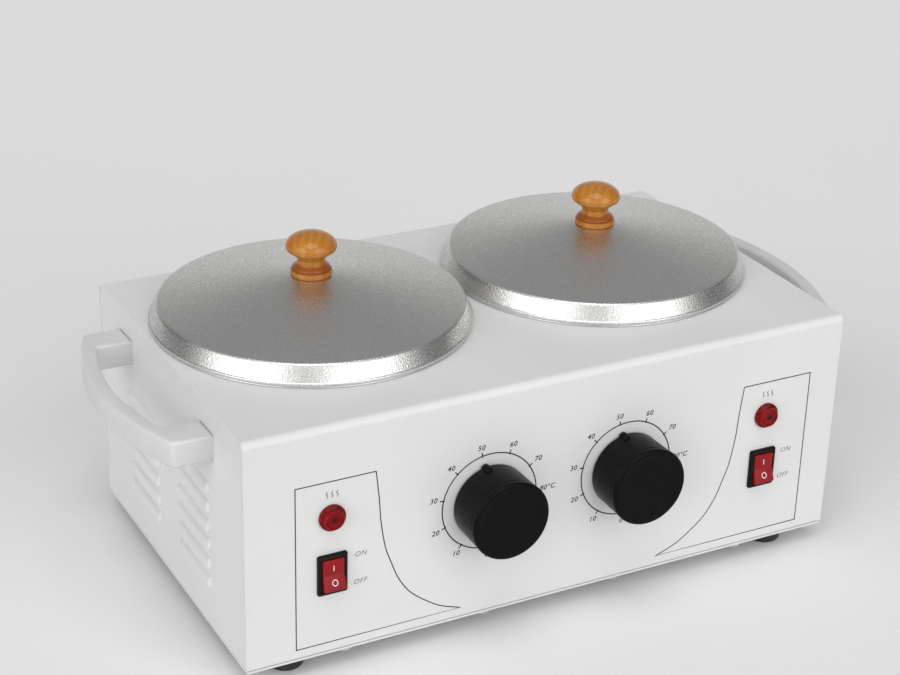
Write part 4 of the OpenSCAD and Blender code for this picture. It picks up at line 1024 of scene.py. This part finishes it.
# %% Outlines round the switches
PRINT_SHIFT, OUTLINE_LINE = 3.8, 0.52
FRAME_OUT, FRAME_LOW, FRAME_TOP = 141.5, 6.4, 91.9
FRAME_SWEEP = [(101.3, 91.9), (100.5, 85.2), (99.5, 76.1), (98.6, 64.8), (96.2, 50.7),
               (93.2, 41.9), (88.8, 31.2), (82.0, 21.7), (71.1, 13.2), (64.5, 9.6),
               (55.6, 6.4)]


def smooth(points, steps=6):
    """A curve through points, with each bend eased."""
    eased = []
    for i in range(len(points) - 1):
        p0, p1 = Vector(points[max(i - 1, 0)]), Vector(points[i])
        p2, p3 = Vector(points[i + 1]), Vector(points[min(i + 2, len(points) - 1)])
        for k in range(steps):
            t = k / steps
            eased.append(0.5 * ((2 * p1) + (p2 - p0) * t
                                + (2 * p0 - 5 * p1 + 4 * p2 - p3) * t * t
                                + (3 * p1 - p0 - 3 * p2 + p3) * t ** 3))
    return eased + [Vector(points[-1])]


def switch_outline(sign):
    corners = [Vector((FRAME_OUT, FRAME_LOW)), Vector((FRAME_OUT, FRAME_TOP))]
    points = [(sign * p.x + PRINT_SHIFT, p.y) for p in corners + smooth(FRAME_SWEEP)]
    return ribbon(points, OUTLINE_LINE, closed=True)


# %% Heat marks: three short waves, the usual sign for heat
WAVE_LINE, WAVE_PITCH, WAVE_SWING, WAVE_BEND, WAVE_LEAN = 0.4, 2.6, 0.5, 1.05, 0.1
WAVE_RISE, WAVE_HALF_H, WAVE_TIMES = 0.53, 1.6, [i * 0.5 for i in range(13)]


def heat_mark(x, z):
    waves = []
    for k in (-1, 0, 1):
        line = [(x + WAVE_PITCH * k + WAVE_SWING * math.sin(t * WAVE_BEND) + WAVE_LEAN * t,
                 z - WAVE_HALF_H + t * WAVE_RISE) for t in WAVE_TIMES]
        waves.append(ribbon(line, WAVE_LINE))
    return waves


# %% Print the front panel
WORD_H, WORD_WEIGHT, HEAT_MARK_UP = 2.6, -0.01, 11.8
WORDS = {"ON": (14.6, 50.4), "OFF": (14.4, 35.6)}
panel_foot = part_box("base_plate")[0].z
lines, words = [], []
for side, sign in SIDES.items():
    pin = pin_of[f"dial_{side}"]
    lines += scale_marks(pin.x / MM, (pin.z - panel_foot) / MM)
    lines.append(switch_outline(sign))
    switch_x = middle(f"switch_{side}").x / MM
    lamp_z = (middle(f"lamp_lens_{side}").z - panel_foot) / MM
    words += heat_mark(switch_x, lamp_z + HEAT_MARK_UP)
    words += [lettering(text, WORD_H, switch_x + across, up, WORD_WEIGHT)
              for text, (across, up) in WORDS.items()]
for name, strokes, ink in (("lines", lines, "ink"), ("words", words, "grey_ink")):
    make(f"printed_{name}", joined(*[(s, Matrix()) for s in strokes]), "housing",
         "black_plastic", on_front(0, panel_foot), ink=ink)

# %% [markdown]
# The I and O lie on the rocker's two faces. The upper face is level with the bezel and the
# lower one leans out by the rocker's travel, so each mark gets its own tilt. They ride on
# the rocker, or they would stay in the air as it tips.

# %% Marks on the rockers
BAR, BAR_LINE = [(0, 2.0), (0, 4.8)], 0.45
RING_W, RING_H, RING_LINE, RING_DOWN = 1.3, 1.4, 0.42, -3.9
upper_face = Matrix.Translation((0, ROCKER_BEND * MM, ROCKER_OUT * MM))
lower_face = (upper_face @ Matrix.Rotation(math.radians(-ROCKER_TRAVEL), 4, "X")
              @ Matrix.Translation((0, RING_DOWN * MM, 0)))
for side in SIDES:
    pin = pin_of[f"rocker_{side}"]
    ring = ribbon(arc(0, 0, RING_W, RING_H, 0, 345, 23), RING_LINE, closed=True)
    make(f"rocker_marks_{side}",
         joined((ribbon(BAR, BAR_LINE), upper_face), (ring, lower_face)), f"rocker_{side}",
         "red_plastic", on_front(pin.x, pin.z, pin.y), ink="white_ink")

# %% [markdown]
# ## Studio
# The camera stands where the photograph was taken from: to the left and a little above,
# with a long lens. Two softboxes stand in front, one on each side, which gives the lids'
# skirts their two bright bands, and one hangs above. The sky is a gradient: pale behind the
# object, and darker above, which keeps the tops of the lids grey. The room is dark at both
# sides, which shows as the dark ends of the skirts.

# %% Camera
LENS_MM, SENSOR_MM, LENS_SHIFT = 82.66, 36.0, (-0.0052, -0.0047)
CAMERA_AT = (-0.4569, -0.8302, 0.5584)
CAMERA_AZIMUTH, CAMERA_TILT, CAMERA_ROLL = -28.24, 25.2, 1.59


def direction(azimuth, elevation):
    """From the part outwards; azimuth 0 is straight in front of it, angles in degrees."""
    a, e = math.radians(azimuth), math.radians(elevation)
    return Vector((math.sin(a) * math.cos(e), -math.cos(a) * math.cos(e), math.sin(e)))


camera_data = bpy.data.cameras.new("camera")
camera_data.lens, camera_data.sensor_width = LENS_MM, SENSOR_MM
camera_data.shift_x, camera_data.shift_y = LENS_SHIFT
camera_data.clip_start, camera_data.clip_end = 0.02, 60
camera = bpy.data.objects.new("camera", camera_data)
roll = Matrix.Rotation(math.radians(CAMERA_ROLL), 3, "Z").to_quaternion()
aim = direction(CAMERA_AZIMUTH, CAMERA_TILT).to_track_quat("Z", "Y") @ roll
camera.matrix_world = Matrix.Translation(CAMERA_AT) @ aim.to_matrix().to_4x4()
bpy.context.scene.collection.objects.link(camera)
bpy.context.scene.camera = camera
print("camera at", CAMERA_AT, "with a lens of", LENS_MM, "mm")

# %% Softboxes
def softbox(name, azimuth, elevation, width_deg, strength):
    """A soft round light, far away; the width is what it fills as seen from the part."""
    away = direction(azimuth, elevation)
    data = bpy.data.lights.new(name, "SUN")
    data.angle, data.energy = math.radians(width_deg), strength
    lamp = bpy.data.objects.new(name, data)
    lamp.location = away * 2
    lamp.rotation_mode = "QUATERNION"
    lamp.rotation_quaternion = away.to_track_quat("Z", "Y")
    bpy.context.scene.collection.objects.link(lamp)
    print(name, "strength", strength, "degrees wide", width_deg)


softbox("softbox_left", CAMERA_AZIMUTH - 42, 25, 52, 1.15)
softbox("softbox_right", CAMERA_AZIMUTH + 42, 25, 52, 1.03)
softbox("overhead", CAMERA_AZIMUTH, 76, 40, 0.9)

# %% Sky: pale low down, grey above
SKY_STOPS = {0.04: (0.84, 0.84, 0.83, 1), 0.38: (0.42, 0.42, 0.42, 1),
             0.62: (0.27, 0.27, 0.275, 1)}
world = bpy.data.worlds.new("studio")
bpy.context.scene.world = world
world.use_nodes = True
sky = world.node_tree
look = add_node(sky, "TexCoord").outputs["Generated"]
split = add_node(sky, "SeparateXYZ")
sky.links.new(look, split.inputs["Vector"])
ramp = add_node(sky, "ValToRGB")
stops = ramp.color_ramp.elements
stops.new(0.5)
for stop, (position, colour) in zip(stops, SKY_STOPS.items()):
    stop.position, stop.color = position, colour
sky.links.new(split.outputs["Z"], ramp.inputs["Fac"])

# %% Dark sides of the room
towards_front = add_node(sky, "VectorMath")
towards_front.operation = "DOT_PRODUCT"
towards_front.inputs[1].default_value = direction(CAMERA_AZIMUTH, 0)
sky.links.new(look, towards_front.inputs[0])
sideways = towards_front.outputs["Value"]
not_ahead = ranged(sky, sideways, 1, 0, start=0.1, end=0.4)
not_behind = ranged(sky, sideways, 0, 1, start=-0.85, end=-0.5)
low_down = ranged(sky, split.outputs["Z"], 1, 0, start=0.3, end=0.6)
both = math_node(sky, "MULTIPLY", not_ahead, not_behind)
shaded = add_node(sky, "Mix")
shaded.data_type = "RGBA"
sky.links.new(math_node(sky, "MULTIPLY", both, low_down), shaded.inputs[MIX_FACTOR])
sky.links.new(ramp.outputs["Color"], shaded.inputs[MIX_FIRST])
shaded.inputs[MIX_SECOND].default_value = (0.05, 0.05, 0.052, 1)
sky.links.new(shaded.outputs[MIX_RESULT], sky.nodes["Background"].inputs["Color"])
print("sky nodes:", len(sky.nodes))

# %% Floor
FLOOR_HALF = 9.0
paper = Finish("studio_paper", (0.82, 0.82, 0.82), 0.9, Specular_IOR_Level=0.1)
tone = paper.effect(tone_group, "Amount", Size_mm=400)
paper.link(paper.blend(tone, (0.815, 0.815, 0.815), (0.825, 0.825, 0.825)))
floor_mesh = bpy.data.meshes.new("floor")
corners = [(-1, -1), (1, -1), (1, 1), (-1, 1)]
floor_mesh.from_pydata([(x * FLOOR_HALF, y * FLOOR_HALF, 0) for x, y in corners], [],
                       [(0, 1, 2, 3)])
floor_mesh.materials.append(paper.material)
floor = bpy.data.objects.new("floor", floor_mesh)
bpy.context.scene.collection.objects.link(floor)
bpy.context.scene.view_settings.view_transform = "Standard"
print("floor of", 2 * FLOOR_HALF, "m")
